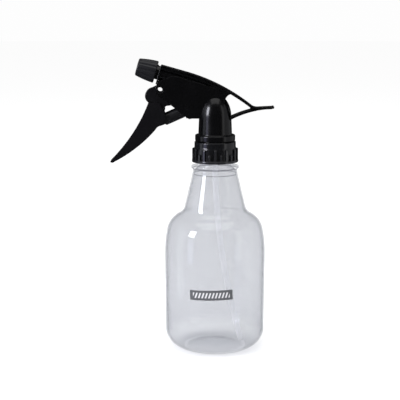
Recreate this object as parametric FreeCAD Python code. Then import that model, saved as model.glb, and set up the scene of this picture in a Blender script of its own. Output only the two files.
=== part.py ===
"""Hand mister: a clear bottle with a screw-on trigger pump, one STEP file per piece.

Frame: origin at the centre of the bottle's foot, +Z up the bottle's axis, -X towards the nozzle.
The bottle is drawn from its foot. Everything above it, from the gasket to the nozzle, is drawn with
its zero height at the bottle's lip and lifted onto it at the end. The pump is symmetrical about the
plane y = 0, so most outlines are drawn in the XZ plane.
"""
import FreeCAD, Part
import math
import os
from typing import NamedTuple

from FreeCAD import Placement, Rotation, Vector

# ---------------------------------------------------------------- shared fits (mm)
running_gap = 0.05        # shaft in a bore
loose_gap = 0.3           # moving faces that only pass each other
face_gap = 0.1            # turning faces held together end to end
above_pump = 70.0         # height above the lip that clears the whole pump

# ---------------------------------------------------------------- bottle
body_radius_low = 34.6    # just above the rounded foot
body_radius_high = 35.1   # where the shoulder starts
foot_radius = 20.5        # outer edge of the ring the bottle stands on
foot_width = 3.0
foot_curve_height = 11.4
push_up = 2.4             # hollow under the base
shoulder_start = 66.0
shoulder_top = 100.6
neck_radius_low = 21.1    # foot of the neck's cone
neck_radius_high = 15.4
neck_straight = 3.2       # between the cone and the support ring
bottle_wall = 0.9
ring_radius = 16.5        # support ring below the thread
ring_drop = 14.9          # underside of the ring below the lip
ring_height = 1.6
lip_height = 142.6        # top of the bottle
finish_radius = 12.5      # outside of the finish, at the thread's root
finish_bore = 10.8

# ---------------------------------------------------------------- neck thread
thread_pitch = 4.233
thread_depth = 1.2
thread_turns = 1.5
thread_drop = 10.2        # start of the bottle's thread below the lip
ridge_root = 2.0          # width of the bottle's ridge at its root
ridge_crest = 1.0
collar_ridge_root = 1.6
collar_ridge_crest = 0.8
collar_thread_turns = 1.2

# ---------------------------------------------------------------- label panel
label_width = 29.0
label_height = 6.9
label_thickness = 0.12
label_centre_x = -2.8
label_centre_z = 45.0
label_tilt = 1.8          # degrees

# ---------------------------------------------------------------- collar
collar_low = -10.6
collar_rim_radius = 16.1
collar_rim_height = 1.8
collar_root_radius = 15.0  # between the ribs
rib_radius = 15.9
rib_width = 1.5
rib_count = 24
tall_rib_top = -0.9
short_rib_top = -4.4
collar_band_radius = 14.35
collar_top = 3.7
collar_lip_hole = 11.5
collar_lip_thickness = 1.1

# ---------------------------------------------------------------- gasket and inlet body
gasket_thickness = 1.2
gasket_bore = 8.8
flange_radius = 12.3
flange_thickness = 1.2
plug_height = 7.0
chimney_radius = 3.8
chimney_height = 12.5     # above the flange's top
tube_socket_radius = 3.9
tube_socket_drop = 7.2    # below the flange
tube_socket_depth = 9.0
valve_port_radius = 1.3
ball_chamber_radius = 2.5
ball_seat_height = 2.0    # of the cone under the inlet ball
inlet_ball_radius = 2.0
inlet_ball_lift = 1.5
cage_thickness = 1.4
riser_seal_thickness = 1.5

# ---------------------------------------------------------------- dip tube
tube_radius = 2.0
tube_bore = 1.4
tube_bend_radius = 480.0
tube_end_clearance = 3.4  # above the table, at the tube's low end

# ---------------------------------------------------------------- riser of the housing
skirt_radius = 13.9
skirt_height = 4.1
riser_radius_low = 11.5
riser_radius_high = 11.2
riser_straight_top = 20.4
riser_dome_height = 16.0
riser_wall = 1.4
standpipe_radius = 5.4
water_passage = 1.6

# ---------------------------------------------------------------- cheeks, rail and tail
housing_width = 12.0
cheek_thickness = 1.3
web_thickness = 1.6
rail_thickness = 1.4
rail_lip_depth = 3.0
rail_lip_thickness = 1.0
tail_width = 9.0
tail_thickness = 1.3
tail_end_radius = 1.0
tail_end_round = 3.0      # length of the rounded end, seen from above
taper_start = 7.0         # the rail narrows to the tail's width between these two
taper_end = 24.0
front_plate_thickness = 1.1
front_plate_low = 43.4
rail_front = (-36.6, 56.1)
rail_bend = (-22.0, 52.0)
rail_middle = (0.2, 43.9)
rail_end = (25.4, 28.3)
tail_start = (29.5, 27.3)
tail_tip = (39.6, 27.8)
tail_root = (9.5, 20.3)
tail_middle = (17.0, 23.6)
tail_fork = (28.0, 26.7)

# ---------------------------------------------------------------- barrel and nozzle neck
barrel_tilt = 16.0        # degrees above level, rising towards the nozzle
barrel_face = (-38.8, 50.7)
barrel_radius = 4.9
barrel_length = 34.0      # of its full thickness, behind the front plate
barrel_bore = 1.9
neck_core_radius = 4.8
neck_thread_radius = 5.5
neck_thread_length = 9.0
neck_nose_radius = 3.8
neck_nose_end = 12.4
neck_bore = 2.6
neck_bore_depth = 14.0
neck_pitch = 2.0
neck_thread_start = 1.4   # centre of the neck's thread, from the front plate
neck_thread_turns = 3.3
nozzle_thread_turns = 2.0
neck_ridge_root = 1.0
neck_ridge_crest = 0.4
nozzle_start = 2.0        # from the front plate to the nozzle's rear
nozzle_length = 13.4
nozzle_radius_rear = 7.7
nozzle_radius_front = 6.0
nozzle_belly = 7.15       # radius half way along
nozzle_end_wall = 1.6
nozzle_chamfer = 0.5
flute_count = 12
flute_radius = 1.1
flute_depth = 0.45
flute_end = 1.2           # short of the nozzle's front
orifice_radius = 0.4
disc_radius = 2.4
disc_thickness = 0.8
seal_thickness = 1.6
seal_outer_radius = 5.3
ball_travel = 1.0
outlet_ball_radius = 1.5
outlet_seat_length = 3.0
outlet_seat_port = 0.8
swirl_length = 5.0
swirl_groove = 0.6

# ---------------------------------------------------------------- pump cylinder and piston
cylinder_tilt = 24.0      # degrees above level, rising towards the riser
cylinder_mouth = (-22.0, 24.5)
cylinder_depth = 18.0
cylinder_bore = 4.5
cylinder_radius = 5.7
piston_radius = 4.2
piston_bore = 3.1
piston_reach = 16.0       # nose ahead of the mouth
piston_insertion = 5.0    # inside the cylinder at rest
piston_nose_radius = 6.0
piston_nose_wall = 1.6
piston_head_length = 4.4
lip_groove_radius = 3.7
lip_seal_width = 1.0
spring_wire = 0.35
spring_radius = 2.5
spring_turns = 9
outlet_spring_wire = 0.2
outlet_spring_radius = 1.2
outlet_spring_turns = 5

# ---------------------------------------------------------------- trigger
pivot = (-37.9, 39.5)
pivot_stub_radius = 2.4
pivot_hole_radius = 1.75
pivot_boss_radius = 3.4
trigger_width = 13.0
trigger_neck_width = 8.8
trigger_wall = 1.5
trigger_pull = 26.0       # degrees from rest to the stop
pusher_lean = 11.0        # degrees, so that the push stays nearly square to the piston
pusher_thickness = 2.2


# ================================================================ drawing helpers
class Round(NamedTuple):
    """Quarter of an ellipse that leaves towards corner and arrives at end from it."""

    corner: tuple
    end: tuple


def spot(point):
    """A point of the XZ plane as a vector."""
    return Vector(point[0], 0, point[1])


def quarter_ellipse(start, corner, end):
    """Edge for a quarter of an ellipse in the XZ plane."""
    curve = Part.BSplineCurve()
    poles = [spot(start), spot(corner), spot(end)]
    curve.buildFromPolesMultsKnots(poles, [3, 3], [0, 1], False, 2, [1, math.sqrt(0.5), 1])
    return curve.toShape()


def path(start, *moves):
    """Wire in the XZ plane: a point draws a line, a pair of points an arc, a Round a quarter ellipse."""
    edges = []
    here = start
    for move in moves:
        if isinstance(move, Round):
            edges.append(quarter_ellipse(here, move.corner, move.end))
            here = move.end
        elif isinstance(move[0], tuple):
            edges.append(Part.Arc(spot(here), spot(move[0]), spot(move[1])).toShape())
            here = move[1]
        else:
            edges.append(Part.LineSegment(spot(here), spot(move)).toShape())
            here = move
    return Part.Wire(edges)


def turned(start, *moves):
    """Solid of revolution about Z from a closed outline of (radius, height) points."""
    return Part.Face(path(start, *moves, start)).revolve(Vector(), Vector(0, 0, 1), 360)


def slab(width, start, *moves):
    """Flat solid of the given width, centred on y = 0, from a closed outline in the XZ plane."""
    face = Part.Face(path(start, *moves, start))
    face.translate(Vector(0, -width / 2, 0))
    return face.extrude(Vector(0, width, 0))


def ribbon(width, right, up, start, *moves):
    """Plate whose side view is the band between a line and the same line moved right and up."""
    upper = path(start, *moves)
    lower = upper.translated(Vector(right, 0, up))
    first, last = upper.OrderedVertexes[0].Point, upper.OrderedVertexes[-1].Point
    shift = Vector(right, 0, up)
    ends = [Part.LineSegment(point, point + shift).toShape() for point in (first, last)]
    face = Part.Face(Part.Wire(Part.__sortEdges__(upper.Edges + lower.Edges + ends)))
    face.translate(Vector(0, -width / 2, 0))
    return face.extrude(Vector(0, width, 0))


def box(low, high):
    """Box between two opposite corners."""
    return Part.makeBox(high[0] - low[0], high[1] - low[1], high[2] - low[2], Vector(*low))


def rod(radius, low, high):
    """Cylinder about Z between two heights."""
    return Part.makeCylinder(radius, high - low, Vector(0, 0, low))


def ring(outer, inner, low, high):
    """Washer about Z between two heights."""
    return rod(outer, low, high).cut(rod(inner, low, high))


def cross_rod(radius, point, width):
    """Cylinder along Y, centred on y = 0."""
    return Part.makeCylinder(radius, width, Vector(point[0], -width / 2, point[1]), Vector(0, 1, 0))


def screw_ridge(radius, depth, root, crest, pitch, turns, start):
    """Helical ridge about Z; a positive depth points outwards, a negative one inwards."""
    helix = Part.makeHelix(pitch, pitch * turns, radius)
    sunk = math.copysign(0.15, depth)
    corners = [(radius - sunk, -root / 2), (radius + depth, -crest / 2),
               (radius + depth, crest / 2), (radius - sunk, root / 2)]
    section = path(corners[0], *corners[1:], corners[0])
    ridge = Part.Wire(helix.Edges).makePipeShell([section], True, True)
    ridge.translate(Vector(0, 0, start))
    return ridge


def coil(radius, wire, turns, low, high):
    """Compression spring about Z whose ends stay inside the two heights."""
    pitch = (high - low - 2 * wire) / turns
    helix = Part.makeHelix(pitch, pitch * turns, radius)
    section = Part.Wire(Part.makeCircle(wire, Vector(radius, 0, 0), Vector(0, 1, 0)))
    spring = Part.Wire(helix.Edges).makePipeShell([section], True, True)
    spring.translate(Vector(0, 0, low + wire))
    return spring


def aimed(shape, origin, degrees_from_vertical):
    """The shape moved so that its Z axis starts at origin and leans in the XZ plane."""
    lean = Placement(spot(origin), Rotation(Vector(0, 1, 0), degrees_from_vertical))
    shape = shape.copy()
    shape.Placement = lean.multiply(shape.Placement)
    return shape


def on_barrel(shape):
    """Local +Z becomes the spray direction, with its zero at the front plate's outer face."""
    return aimed(shape, barrel_face, barrel_tilt - 90)


def on_cylinder(shape):
    """Local +Z becomes the piston's inward stroke, with its zero at the cylinder's mouth."""
    return aimed(shape, cylinder_mouth, 90 - cylinder_tilt)


def along_line(origin, tilt, distance, side=0.0):
    """Point at a distance along a line that leans tilt degrees above +X, and a distance off it."""
    angle = math.radians(tilt)
    return (origin[0] + distance * math.cos(angle) - side * math.sin(angle),
            origin[1] + distance * math.sin(angle) + side * math.cos(angle))


def shifted(point, right, up):
    """A point moved in the XZ plane."""
    return (point[0] + right, point[1] + up)


# ================================================================ heights that follow from the sizes
ring_low = lip_height - ring_drop
neck_cone_top = ring_low - neck_straight
gasket_top = gasket_thickness
flange_top = gasket_top + flange_thickness
collar_lip_low = collar_top - collar_lip_thickness
skirt_low = collar_top + 2 * face_gap + loose_gap
skirt_top = skirt_low + skirt_height
chimney_top = flange_top + chimney_height
standpipe_floor = chimney_top + riser_seal_thickness
riser_bore = riser_radius_high - riser_wall
valve_seat_low = gasket_top - tube_socket_drop + tube_socket_depth + 1.0
ball_rest = valve_seat_low + ball_seat_height
barrel_cross = barrel_face[1] - (0 - barrel_face[0]) * math.tan(math.radians(barrel_tilt))
barrel_back = -barrel_face[0] / math.cos(math.radians(barrel_tilt))


# ================================================================ bottle
def bottle_side(inset):
    """Start and moves of the bottle's side from the base's centre to the top of the neck's cone."""
    def skin(radius, height, lean):
        angle = math.radians(lean)
        return (radius - inset * math.cos(angle), height - inset * math.sin(angle))

    def shoulder(across, upward, lean):
        radius = body_radius_high + across * (neck_radius_low - body_radius_high)
        return skin(radius, shoulder_start + upward * (shoulder_top - shoulder_start), lean)

    foot_inner = foot_radius - foot_width
    moves = [
        (skin(foot_inner / 2, push_up * 0.75, -90), skin(foot_inner, 0, -90)),
        skin(foot_radius, 0, -90),
        Round((body_radius_low - inset, inset), skin(body_radius_low, foot_curve_height, 0)),
        skin(body_radius_high, shoulder_start, 0),
        (shoulder(0.046, 0.347, 6), shoulder(0.129, 0.558, 18)),
        (shoulder(0.293, 0.702, 38), shoulder(0.629, 0.825, 58)),
        (shoulder(0.879, 0.900, 42), shoulder(1.0, 1.0, 15)),
        skin(neck_radius_high + 0.7, neck_cone_top - 3.0, 12),
        skin(neck_radius_high, neck_cone_top, 0),
    ]
    return skin(0, push_up, -90), moves


def make_bottle():
    """Thin-walled bottle with its support ring and thread."""
    start, moves = bottle_side(0)
    ring_top = ring_low + ring_height
    body = turned(start, *moves, (neck_radius_high, ring_low), (ring_radius, ring_low),
                  (ring_radius, ring_top), (finish_radius, ring_top), (finish_radius, lip_height),
                  (0, lip_height))
    thread = screw_ridge(finish_radius, thread_depth, ridge_root, ridge_crest, thread_pitch,
                         thread_turns, lip_height - thread_drop)
    start, moves = bottle_side(bottle_wall)
    above = lip_height + 1
    hollow = turned(start, *moves, (neck_radius_high - bottle_wall, ring_low - 1.5),
                    (finish_bore, ring_top), (finish_bore, above), (0, above))
    return body.fuse(thread).cut(hollow)


def make_label_panel():
    """Thin printed panel that follows the bottle's front."""
    height = shoulder_start - foot_curve_height
    foot = Vector(0, 0, foot_curve_height)
    skin = Part.makeCone(body_radius_low + label_thickness, body_radius_high + label_thickness, height, foot)
    skin = skin.cut(Part.makeCone(body_radius_low, body_radius_high, height, foot))
    reach = body_radius_high + 1
    window = box((-label_width / 2, -reach, -label_height / 2), (label_width / 2, 0, label_height / 2))
    window.rotate(Vector(), Vector(0, -1, 0), label_tilt)
    window.translate(Vector(label_centre_x, 0, label_centre_z))
    return skin.common(window)


# ================================================================ collar
thread_gap = 0.25
collar_bore = finish_radius + thread_depth + thread_gap


def make_collar():
    """Screw collar with alternating tall and short ribs and a lip that hooks over the pump's flange."""
    rim_top = collar_low + collar_rim_height
    inner = max(flange_radius, finish_radius) + loose_gap
    shell = turned((collar_bore, collar_low), (collar_rim_radius, collar_low), (collar_rim_radius, rim_top),
                   (collar_root_radius, rim_top + 0.4), (collar_root_radius, tall_rib_top),
                   (collar_band_radius, tall_rib_top + 0.7), (collar_band_radius, collar_top),
                   (collar_lip_hole, collar_top), (collar_lip_hole, collar_lip_low),
                   (inner, collar_lip_low), (inner, tall_rib_top + 0.3), (collar_bore, tall_rib_top - 0.4))
    ridge = screw_ridge(collar_bore, -thread_depth, collar_ridge_root, collar_ridge_crest, thread_pitch,
                        collar_thread_turns, thread_pitch / 2 - thread_drop)
    ribs = []
    for index in range(rib_count):
        top = tall_rib_top if index % 2 == 0 else short_rib_top
        rib = box((collar_root_radius - 0.5, -rib_width / 2, rim_top - 0.2), (rib_radius, rib_width / 2, top))
        rib.rotate(Vector(), Vector(0, 0, 1), index * 360 / rib_count)
        ribs.append(rib)
    return shell.fuse([ridge] + ribs)


# ================================================================ parts between bottle and housing
def make_neck_gasket():
    """Washer on the bottle's lip."""
    return ring(flange_radius, gasket_bore, 0, gasket_top)


def make_inlet_body():
    """Flanged plug with the tube socket below and the ball chamber above."""
    socket_low = gasket_top - tube_socket_drop
    plug = rod(riser_bore - running_gap, flange_top, flange_top + plug_height)
    plug = plug.cut(ring(riser_bore - running_gap - riser_wall, chimney_radius + 1.0, flange_top + 1.5,
                         flange_top + plug_height + 1))
    body = rod(flange_radius, gasket_top, flange_top).fuse([
        plug,
        rod(chimney_radius, flange_top, chimney_top),
        rod(tube_socket_radius, socket_low, gasket_top),
    ])
    seat = Part.makeCone(valve_port_radius, ball_chamber_radius, ball_seat_height,
                         Vector(0, 0, valve_seat_low))
    return body.cut([
        rod(tube_radius, socket_low - 1, socket_low + tube_socket_depth),
        rod(valve_port_radius, socket_low, valve_seat_low + 0.1),
        seat,
        rod(ball_chamber_radius, ball_rest, chimney_top + 1),
    ])


def height_on_cone(ball_radius, port_radius, top_radius, cone_height):
    """Height above a conical seat's narrow end at which a ball's centre rests."""
    half_angle = math.atan((top_radius - port_radius) / cone_height)
    return ball_radius / math.sin(half_angle) - port_radius / math.tan(half_angle) + 0.02


inlet_ball_height = valve_seat_low + height_on_cone(inlet_ball_radius, valve_port_radius,
                                                    ball_chamber_radius, ball_seat_height)
cage_low = inlet_ball_height + inlet_ball_radius + inlet_ball_lift + running_gap


def make_inlet_ball():
    """Ball of the lower check valve, on its seat."""
    return Part.makeSphere(inlet_ball_radius, Vector(0, 0, inlet_ball_height))


def make_ball_cage():
    """Ring with a bar across it that stops the inlet ball."""
    outer = ball_chamber_radius
    bar = box((-outer, -0.5, cage_low), (outer, 0.5, cage_low + cage_thickness))
    rim = ring(outer, outer - 0.6, cage_low, cage_low + cage_thickness)
    return rim.fuse(bar.common(rod(outer, cage_low, cage_low + cage_thickness)))


def make_riser_seal():
    """Washer between the chimney's end and the housing's standpipe."""
    return ring(chimney_radius, water_passage, chimney_top, standpipe_floor)


def make_dip_tube():
    """Straight in its socket, then one long gentle bend to the bottle's foot."""
    top = gasket_top - tube_socket_drop + tube_socket_depth
    bend_start = gasket_top - tube_socket_drop
    sweep = math.degrees(math.asin((lip_height + bend_start - tube_end_clearance) / tube_bend_radius))
    centre = Vector(tube_bend_radius, 0, bend_start)

    def bent(radius):
        disc = Part.Face(Part.Wire(Part.makeCircle(radius, Vector(0, 0, bend_start), Vector(0, 0, 1))))
        return disc.revolve(centre, Vector(0, -1, 0), sweep)

    tube = rod(tube_radius, bend_start, top).fuse(bent(tube_radius))
    return tube.cut(rod(tube_bore, bend_start, top + 1)).cut(bent(tube_bore))


# ================================================================ housing
def make_riser():
    """Bullet-shaped tower with the skirt that sits on the collar."""
    spigot = collar_lip_hole - loose_gap
    dome_top = riser_straight_top + riser_dome_height
    return turned((0, flange_top), (spigot, flange_top), (spigot, skirt_low), (skirt_radius, skirt_low),
                  (skirt_radius, skirt_top), (riser_radius_low, skirt_top + 0.3),
                  (riser_radius_high, riser_straight_top),
                  Round((riser_radius_high, dome_top), (0, dome_top)))


def make_riser_hollow():
    """Space inside the tower."""
    top = riser_straight_top + riser_dome_height - riser_wall
    return turned((0, flange_top - 1), (riser_bore, flange_top - 1), (riser_bore, riser_straight_top),
                  Round((riser_bore, top), (0, top)))


def cheek_outline():
    """Side view of the two cheeks, from the lower front corner round to the front edge."""
    return [
        shifted(pivot, -3.1, -2.4),
        shifted(cylinder_mouth, 4.0, -5.1),
        shifted(cylinder_mouth, 6.0, -4.7),
        (3.0, 19.8),
        (6.5, 30.6),
        ((7.7, 33.0), (9.6, 35.0)),
        (11.5, 36.3),
        (4.0, 41.0),
        (0.2, 40.8),
        (-21.2, 47.0),
        ((-25.8, 48.6), (-30.4, 48.7)),
        (-39.6, 44.9),
        shifted(pivot, -3.4, 0.8),
    ]


def make_cheeks():
    """Two plates that carry the trigger's stubs and shroud the cylinder."""
    outline = cheek_outline()
    whole = slab(housing_width, *outline)
    return whole.cut(slab(housing_width - 2 * cheek_thickness, *outline))


def rail_moves():
    """The rail's top line after rail_front, as far as the fork."""
    return [rail_bend, (rail_middle, rail_end)]


def make_rail():
    """Top rail with side lips, running on as the hand-rest tail with its lower strut."""
    top = ribbon(housing_width, -0.45 * rail_thickness, -0.9 * rail_thickness, rail_front, *rail_moves(),
                 ((27.2, 27.5), tail_start), tail_tip)
    lips = ribbon(housing_width, 0, -rail_lip_depth, rail_front, *rail_moves())
    inner = housing_width / 2 - rail_lip_thickness
    back = rail_end[0] + 9
    lips = lips.cut(box((rail_front[0] - 2, -inner, 0), (back, inner, above_pump)))
    lips = lips.cut(box((rail_middle[0] + 2, -housing_width, 0), (back, housing_width, above_pump)))
    strut = ribbon(housing_width, 0.35 * tail_thickness, -0.95 * tail_thickness, tail_root,
                   (tail_middle, tail_fork))
    bead = cross_rod(tail_end_radius, shifted(tail_tip, 0, -0.6 * tail_end_radius), housing_width)
    return top.fuse([lips, strut, bead]).common(tail_plan())


def tail_plan():
    """Plan view of the rail and tail: full width in front, tapering to a rounded end."""
    half, tail_half = housing_width / 2, tail_width / 2
    far = tail_tip[0] + tail_end_radius
    corner = far - tail_end_round
    front = rail_front[0] - 2
    side = [(front, half), (taper_start, half), (taper_end, tail_half), (corner, tail_half)]
    other = [(x, -y) for x, y in reversed(side)]
    sides = [Part.makePolygon([Vector(x, y, 0) for x, y in points]).Edges for points in (side, other)]
    end = Part.Arc(Vector(corner, tail_half, 0), Vector(far, 0, 0), Vector(corner, -tail_half, 0))
    close = Part.LineSegment(Vector(front, -half, 0), Vector(front, half, 0))
    plan = Part.Wire(sides[0] + [end.toShape()] + sides[1] + [close.toShape()])
    return Part.Face(plan).extrude(Vector(0, 0, above_pump))


def make_web():
    """Rib in the middle plane that joins rail, barrel, cylinder and riser."""
    under_rail = [shifted(point, 0, -1) for point in (rail_bend, rail_middle)]
    return slab(web_thickness, shifted(rail_front, 0.5, -1), *under_rail,
                (9.0, 37.6), (6.0, 31.4), (-18.0, 27.9), (-20.0, 44.4), (-38.0, 50.4))


def make_front_plate():
    """Thin plate square to the barrel that closes the rail's front."""
    half = housing_width / 2
    plate = on_barrel(box((-30, -half, -front_plate_thickness), (30, half, 0)))
    return plate.common(box((-60, -half, front_plate_low), (0, half, rail_front[1])))


def make_neck():
    """Threaded end of the barrel, along local Z."""
    core = rod(neck_core_radius, -0.5, neck_thread_length).fuse(rod(neck_nose_radius, 0, neck_nose_end))
    return core.fuse(screw_ridge(neck_core_radius, neck_thread_radius - neck_core_radius, neck_ridge_root,
                                 neck_ridge_crest, neck_pitch, neck_thread_turns, neck_thread_start))


def make_pump_housing():
    """The one-piece moulding of the pump."""
    barrel = on_barrel(rod(barrel_radius, -barrel_length, 0))
    passage_boss = on_barrel(rod(water_passage + 1.5, -barrel_back - 1.5, 1.0 - barrel_length))
    cylinder = on_cylinder(rod(cylinder_radius, 0, cylinder_depth + 1.5))
    standpipe = rod(standpipe_radius, flange_top + plug_height + 0.5, riser_straight_top + 6.0)
    upper_pipe = rod(water_passage + 1.8, riser_straight_top, barrel_cross + water_passage + 0.6)
    shell = make_riser().cut(make_riser_hollow())
    body = shell.fuse([make_cheeks(), make_rail(), make_web(), make_front_plate(), barrel, passage_boss,
                       cylinder, standpipe, upper_pipe, on_barrel(make_neck())])
    mouth_to_riser = -cylinder_mouth[0] / math.cos(math.radians(cylinder_tilt))
    return body.cut([
        on_cylinder(rod(cylinder_bore, -1, cylinder_depth)),
        on_cylinder(rod(valve_port_radius, cylinder_depth - 0.5, mouth_to_riser)),
        rod(chimney_radius + running_gap, flange_top, standpipe_floor),
        rod(water_passage, standpipe_floor - 1, barrel_cross),
        on_barrel(rod(barrel_bore, -barrel_back, 0)),
        on_barrel(rod(neck_bore, neck_nose_end - neck_bore_depth, neck_nose_end + 1)),
        cross_rod(pivot_stub_radius + running_gap, pivot, housing_width + 2),
    ])


# ================================================================ outlet valve and nozzle
seat_low = neck_nose_end - neck_bore_depth
seat_top = seat_low + outlet_seat_length
seat_cone_height = 1.2
seat_cone_radius = 2.0
outlet_ball_height = seat_top - seat_cone_height + height_on_cone(
    outlet_ball_radius, outlet_seat_port, seat_cone_radius, seat_cone_height)
nozzle_front = nozzle_start + nozzle_length
end_wall_low = nozzle_front - nozzle_end_wall
swirl_front = end_wall_low - 0.4
swirl_back = swirl_front - swirl_length
seal_high = neck_nose_end - 0.3
seal_low = seal_high - seal_thickness


def make_outlet_seat():
    """Insert with the conical seat of the outlet ball."""
    cone = Part.makeCone(outlet_seat_port, seat_cone_radius, seat_cone_height,
                         Vector(0, 0, seat_top - seat_cone_height))
    insert = rod(neck_bore, seat_low, seat_top)
    return on_barrel(insert.cut([rod(outlet_seat_port, seat_low - 1, seat_top), cone]))


def make_outlet_ball():
    """Ball of the upper check valve, on its seat."""
    return on_barrel(Part.makeSphere(outlet_ball_radius, Vector(0, 0, outlet_ball_height)))


def make_outlet_spring():
    """Small coil between the outlet ball and the swirl core."""
    on_ball = math.sqrt(outlet_ball_radius ** 2 - outlet_spring_radius ** 2)
    low = outlet_ball_height + on_ball + outlet_spring_wire
    return on_barrel(coil(outlet_spring_radius, outlet_spring_wire, outlet_spring_turns, low, swirl_back))


def make_swirl_core():
    """Plug with three grooves along it that set the water spinning."""
    core = rod(neck_bore, swirl_back, swirl_front)
    grooves = []
    for index in range(3):
        groove = box((neck_bore - swirl_groove, -swirl_groove, swirl_back - 1),
                     (neck_bore + 1, swirl_groove, swirl_front + 1))
        groove.rotate(Vector(), Vector(0, 0, 1), index * 120)
        grooves.append(groove)
    return on_barrel(core.cut(grooves))


def make_nozzle_seal():
    """Ring between the neck's nose and the nozzle."""
    return on_barrel(ring(seal_outer_radius, neck_nose_radius + running_gap, seal_low, seal_high))


def make_nozzle():
    """Fluted cap that screws on the neck."""
    middle = nozzle_start + nozzle_length / 2
    bore = neck_thread_radius + 0.2
    chamfer_end = (nozzle_radius_front, nozzle_front - nozzle_chamfer)
    cap = turned((0, nozzle_start), (nozzle_radius_rear - nozzle_chamfer, nozzle_start),
                 (nozzle_radius_rear, nozzle_start + nozzle_chamfer), ((nozzle_belly, middle), chamfer_end),
                 (nozzle_radius_front - nozzle_chamfer, nozzle_front), (0, nozzle_front))
    flutes = []
    for index in range(flute_count):
        angle = math.radians(index * 360 / flute_count)
        low = Vector(nozzle_radius_rear, 0, nozzle_start - 1)
        high = Vector(nozzle_radius_front, 0, nozzle_front - flute_end)
        outwards = flute_radius - flute_depth
        axis = (high - low).normalize()
        flute = Part.makeCylinder(flute_radius, (high - low).Length, low + Vector(outwards, 0, 0), axis)
        flute.rotate(Vector(), Vector(0, 0, 1), math.degrees(angle))
        flutes.append(flute)
    cap = cap.cut(flutes).cut([
        rod(bore, nozzle_start - 1, seal_low - face_gap),
        rod(seal_outer_radius + running_gap, seal_low - 0.5, seal_high),
        rod(neck_nose_radius + loose_gap, seal_low, end_wall_low),
        rod(disc_radius, end_wall_low - 1, end_wall_low + disc_thickness),
        rod(orifice_radius * 2, nozzle_start, nozzle_front + 1),
    ])
    thread = screw_ridge(bore, neck_core_radius + 0.2 - bore, neck_ridge_root, neck_ridge_crest, neck_pitch,
                         nozzle_thread_turns, neck_thread_start + 1.5 * neck_pitch)
    return on_barrel(cap.fuse(thread))


def make_orifice_disc():
    """Disc with the spray hole."""
    return on_barrel(ring(disc_radius, orifice_radius, end_wall_low, end_wall_low + disc_thickness))


# ================================================================ piston
head_high = piston_insertion
head_low = head_high - piston_head_length
head_radius = cylinder_bore - 2 * running_gap
lip_places = {"vent_seal": head_low + 0.7, "piston_seal": head_high - 0.7 - lip_seal_width}


def make_piston():
    """Hollow plunger with a domed nose and a grooved head."""
    nose = -piston_reach
    nose_centre = nose + piston_nose_radius
    shoulder = nose_centre - math.sqrt(piston_nose_radius ** 2 - piston_radius ** 2)
    slant = piston_nose_radius * math.sqrt(0.5 + 0.5 * (nose_centre - shoulder) / piston_nose_radius)
    across = math.sqrt(piston_nose_radius ** 2 - slant ** 2)
    outside = turned((0, nose), ((across, nose_centre - slant), (piston_radius, shoulder)),
                     (piston_radius, head_low), (head_radius, head_low), (head_radius, head_high),
                     (0, head_high))
    bore = rod(piston_bore, nose + piston_nose_wall, head_high + 1)
    grooves = [ring(head_radius + 1, lip_groove_radius, low, low + lip_seal_width)
               for low in lip_places.values()]
    return on_cylinder(outside.cut([bore] + grooves))


def make_lip_seal(low):
    """Sealing ring in one of the piston head's grooves."""
    return on_cylinder(ring(cylinder_bore - running_gap, lip_groove_radius, low, low + lip_seal_width))


def make_return_spring():
    """Coil from the piston's nose to the end of the cylinder."""
    inside_nose = piston_nose_wall - piston_reach
    return on_cylinder(coil(spring_radius, spring_wire, spring_turns, inside_nose, cylinder_depth))


# ================================================================ trigger
blade_notch = (-45.9, 30.7)
blade_front = (-55.7, 11.2)
blade_tip = (-72.6, -10.0)
blade_back = (-34.6, 16.0)


def make_blade():
    """Finger lever: a channel with a front wall and two side walls, open at the back."""
    outline = [
        blade_notch,
        (blade_front, blade_tip),
        (shifted(blade_tip, 1.2, -0.6), shifted(blade_tip, 3.0, 0.0)),
        ((-53.2, 0.6), (-41.5, 11.7)),
        (-39.9, 13.8),
        ((-38.9, 14.5), (-37.6, 14.9)),
        blade_back,
        (blade_back[0], 23.0),
        (-38.3, 30.7),
    ]
    blade = slab(trigger_width, *outline)
    pocket = slab(trigger_width - 2 * trigger_wall,
                  shifted(blade_notch, 1.7, -1.8),
                  (shifted(blade_front, 1.4, -0.9), shifted(blade_tip, 6.2, 5.2)),
                  (-60.0, -12.6), (-30.0, 2.4), (-30.0, 28.9))
    return blade.cut(pocket)


def make_trigger_neck():
    """Narrow upper part that swings between the cheeks."""
    return slab(trigger_neck_width,
                shifted(blade_notch, 0.6, -6.5),
                blade_notch,
                ((-48.2, 35.0), (-43.6, 40.6)),
                shifted(pivot, -1.6, 3.0),
                shifted(pivot, 2.4, 2.4),
                (-30.4, 32.0),
                (-30.4, 28.7),
                (-33.0, 28.4),
                ((-34.2, 27.9), (-34.6, 26.8)),
                (-34.6, 25.0))


def make_pusher():
    """Cross wall whose flat back pushes the piston's nose, with the rib that stiffens it."""
    nose_centre = along_line(cylinder_mouth, cylinder_tilt, piston_nose_radius - piston_reach)
    contact = along_line(nose_centre, pusher_lean, -(piston_nose_radius + running_gap))
    top = along_line(contact, pusher_lean, 0, 4.6)
    low = along_line(contact, pusher_lean, 0, -3.8)
    wall = slab(trigger_width - 1, low, top, along_line(top, pusher_lean, -pusher_thickness),
                along_line(low, pusher_lean, -pusher_thickness))
    rib = slab(web_thickness, along_line(low, pusher_lean, -1), along_line(top, pusher_lean, -1),
               (-48.0, 23.9), (-51.0, 17.4))
    return wall.fuse(rib)


def make_trigger():
    """Trigger with its hollow pivot stubs."""
    stub = cross_rod(pivot_stub_radius, pivot, housing_width - 0.2)
    boss = cross_rod(pivot_boss_radius, pivot, trigger_neck_width)
    whole = make_blade().fuse([make_trigger_neck(), make_pusher(), boss, stub])
    return whole.cut(cross_rod(pivot_hole_radius, pivot, housing_width + 2))


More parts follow.
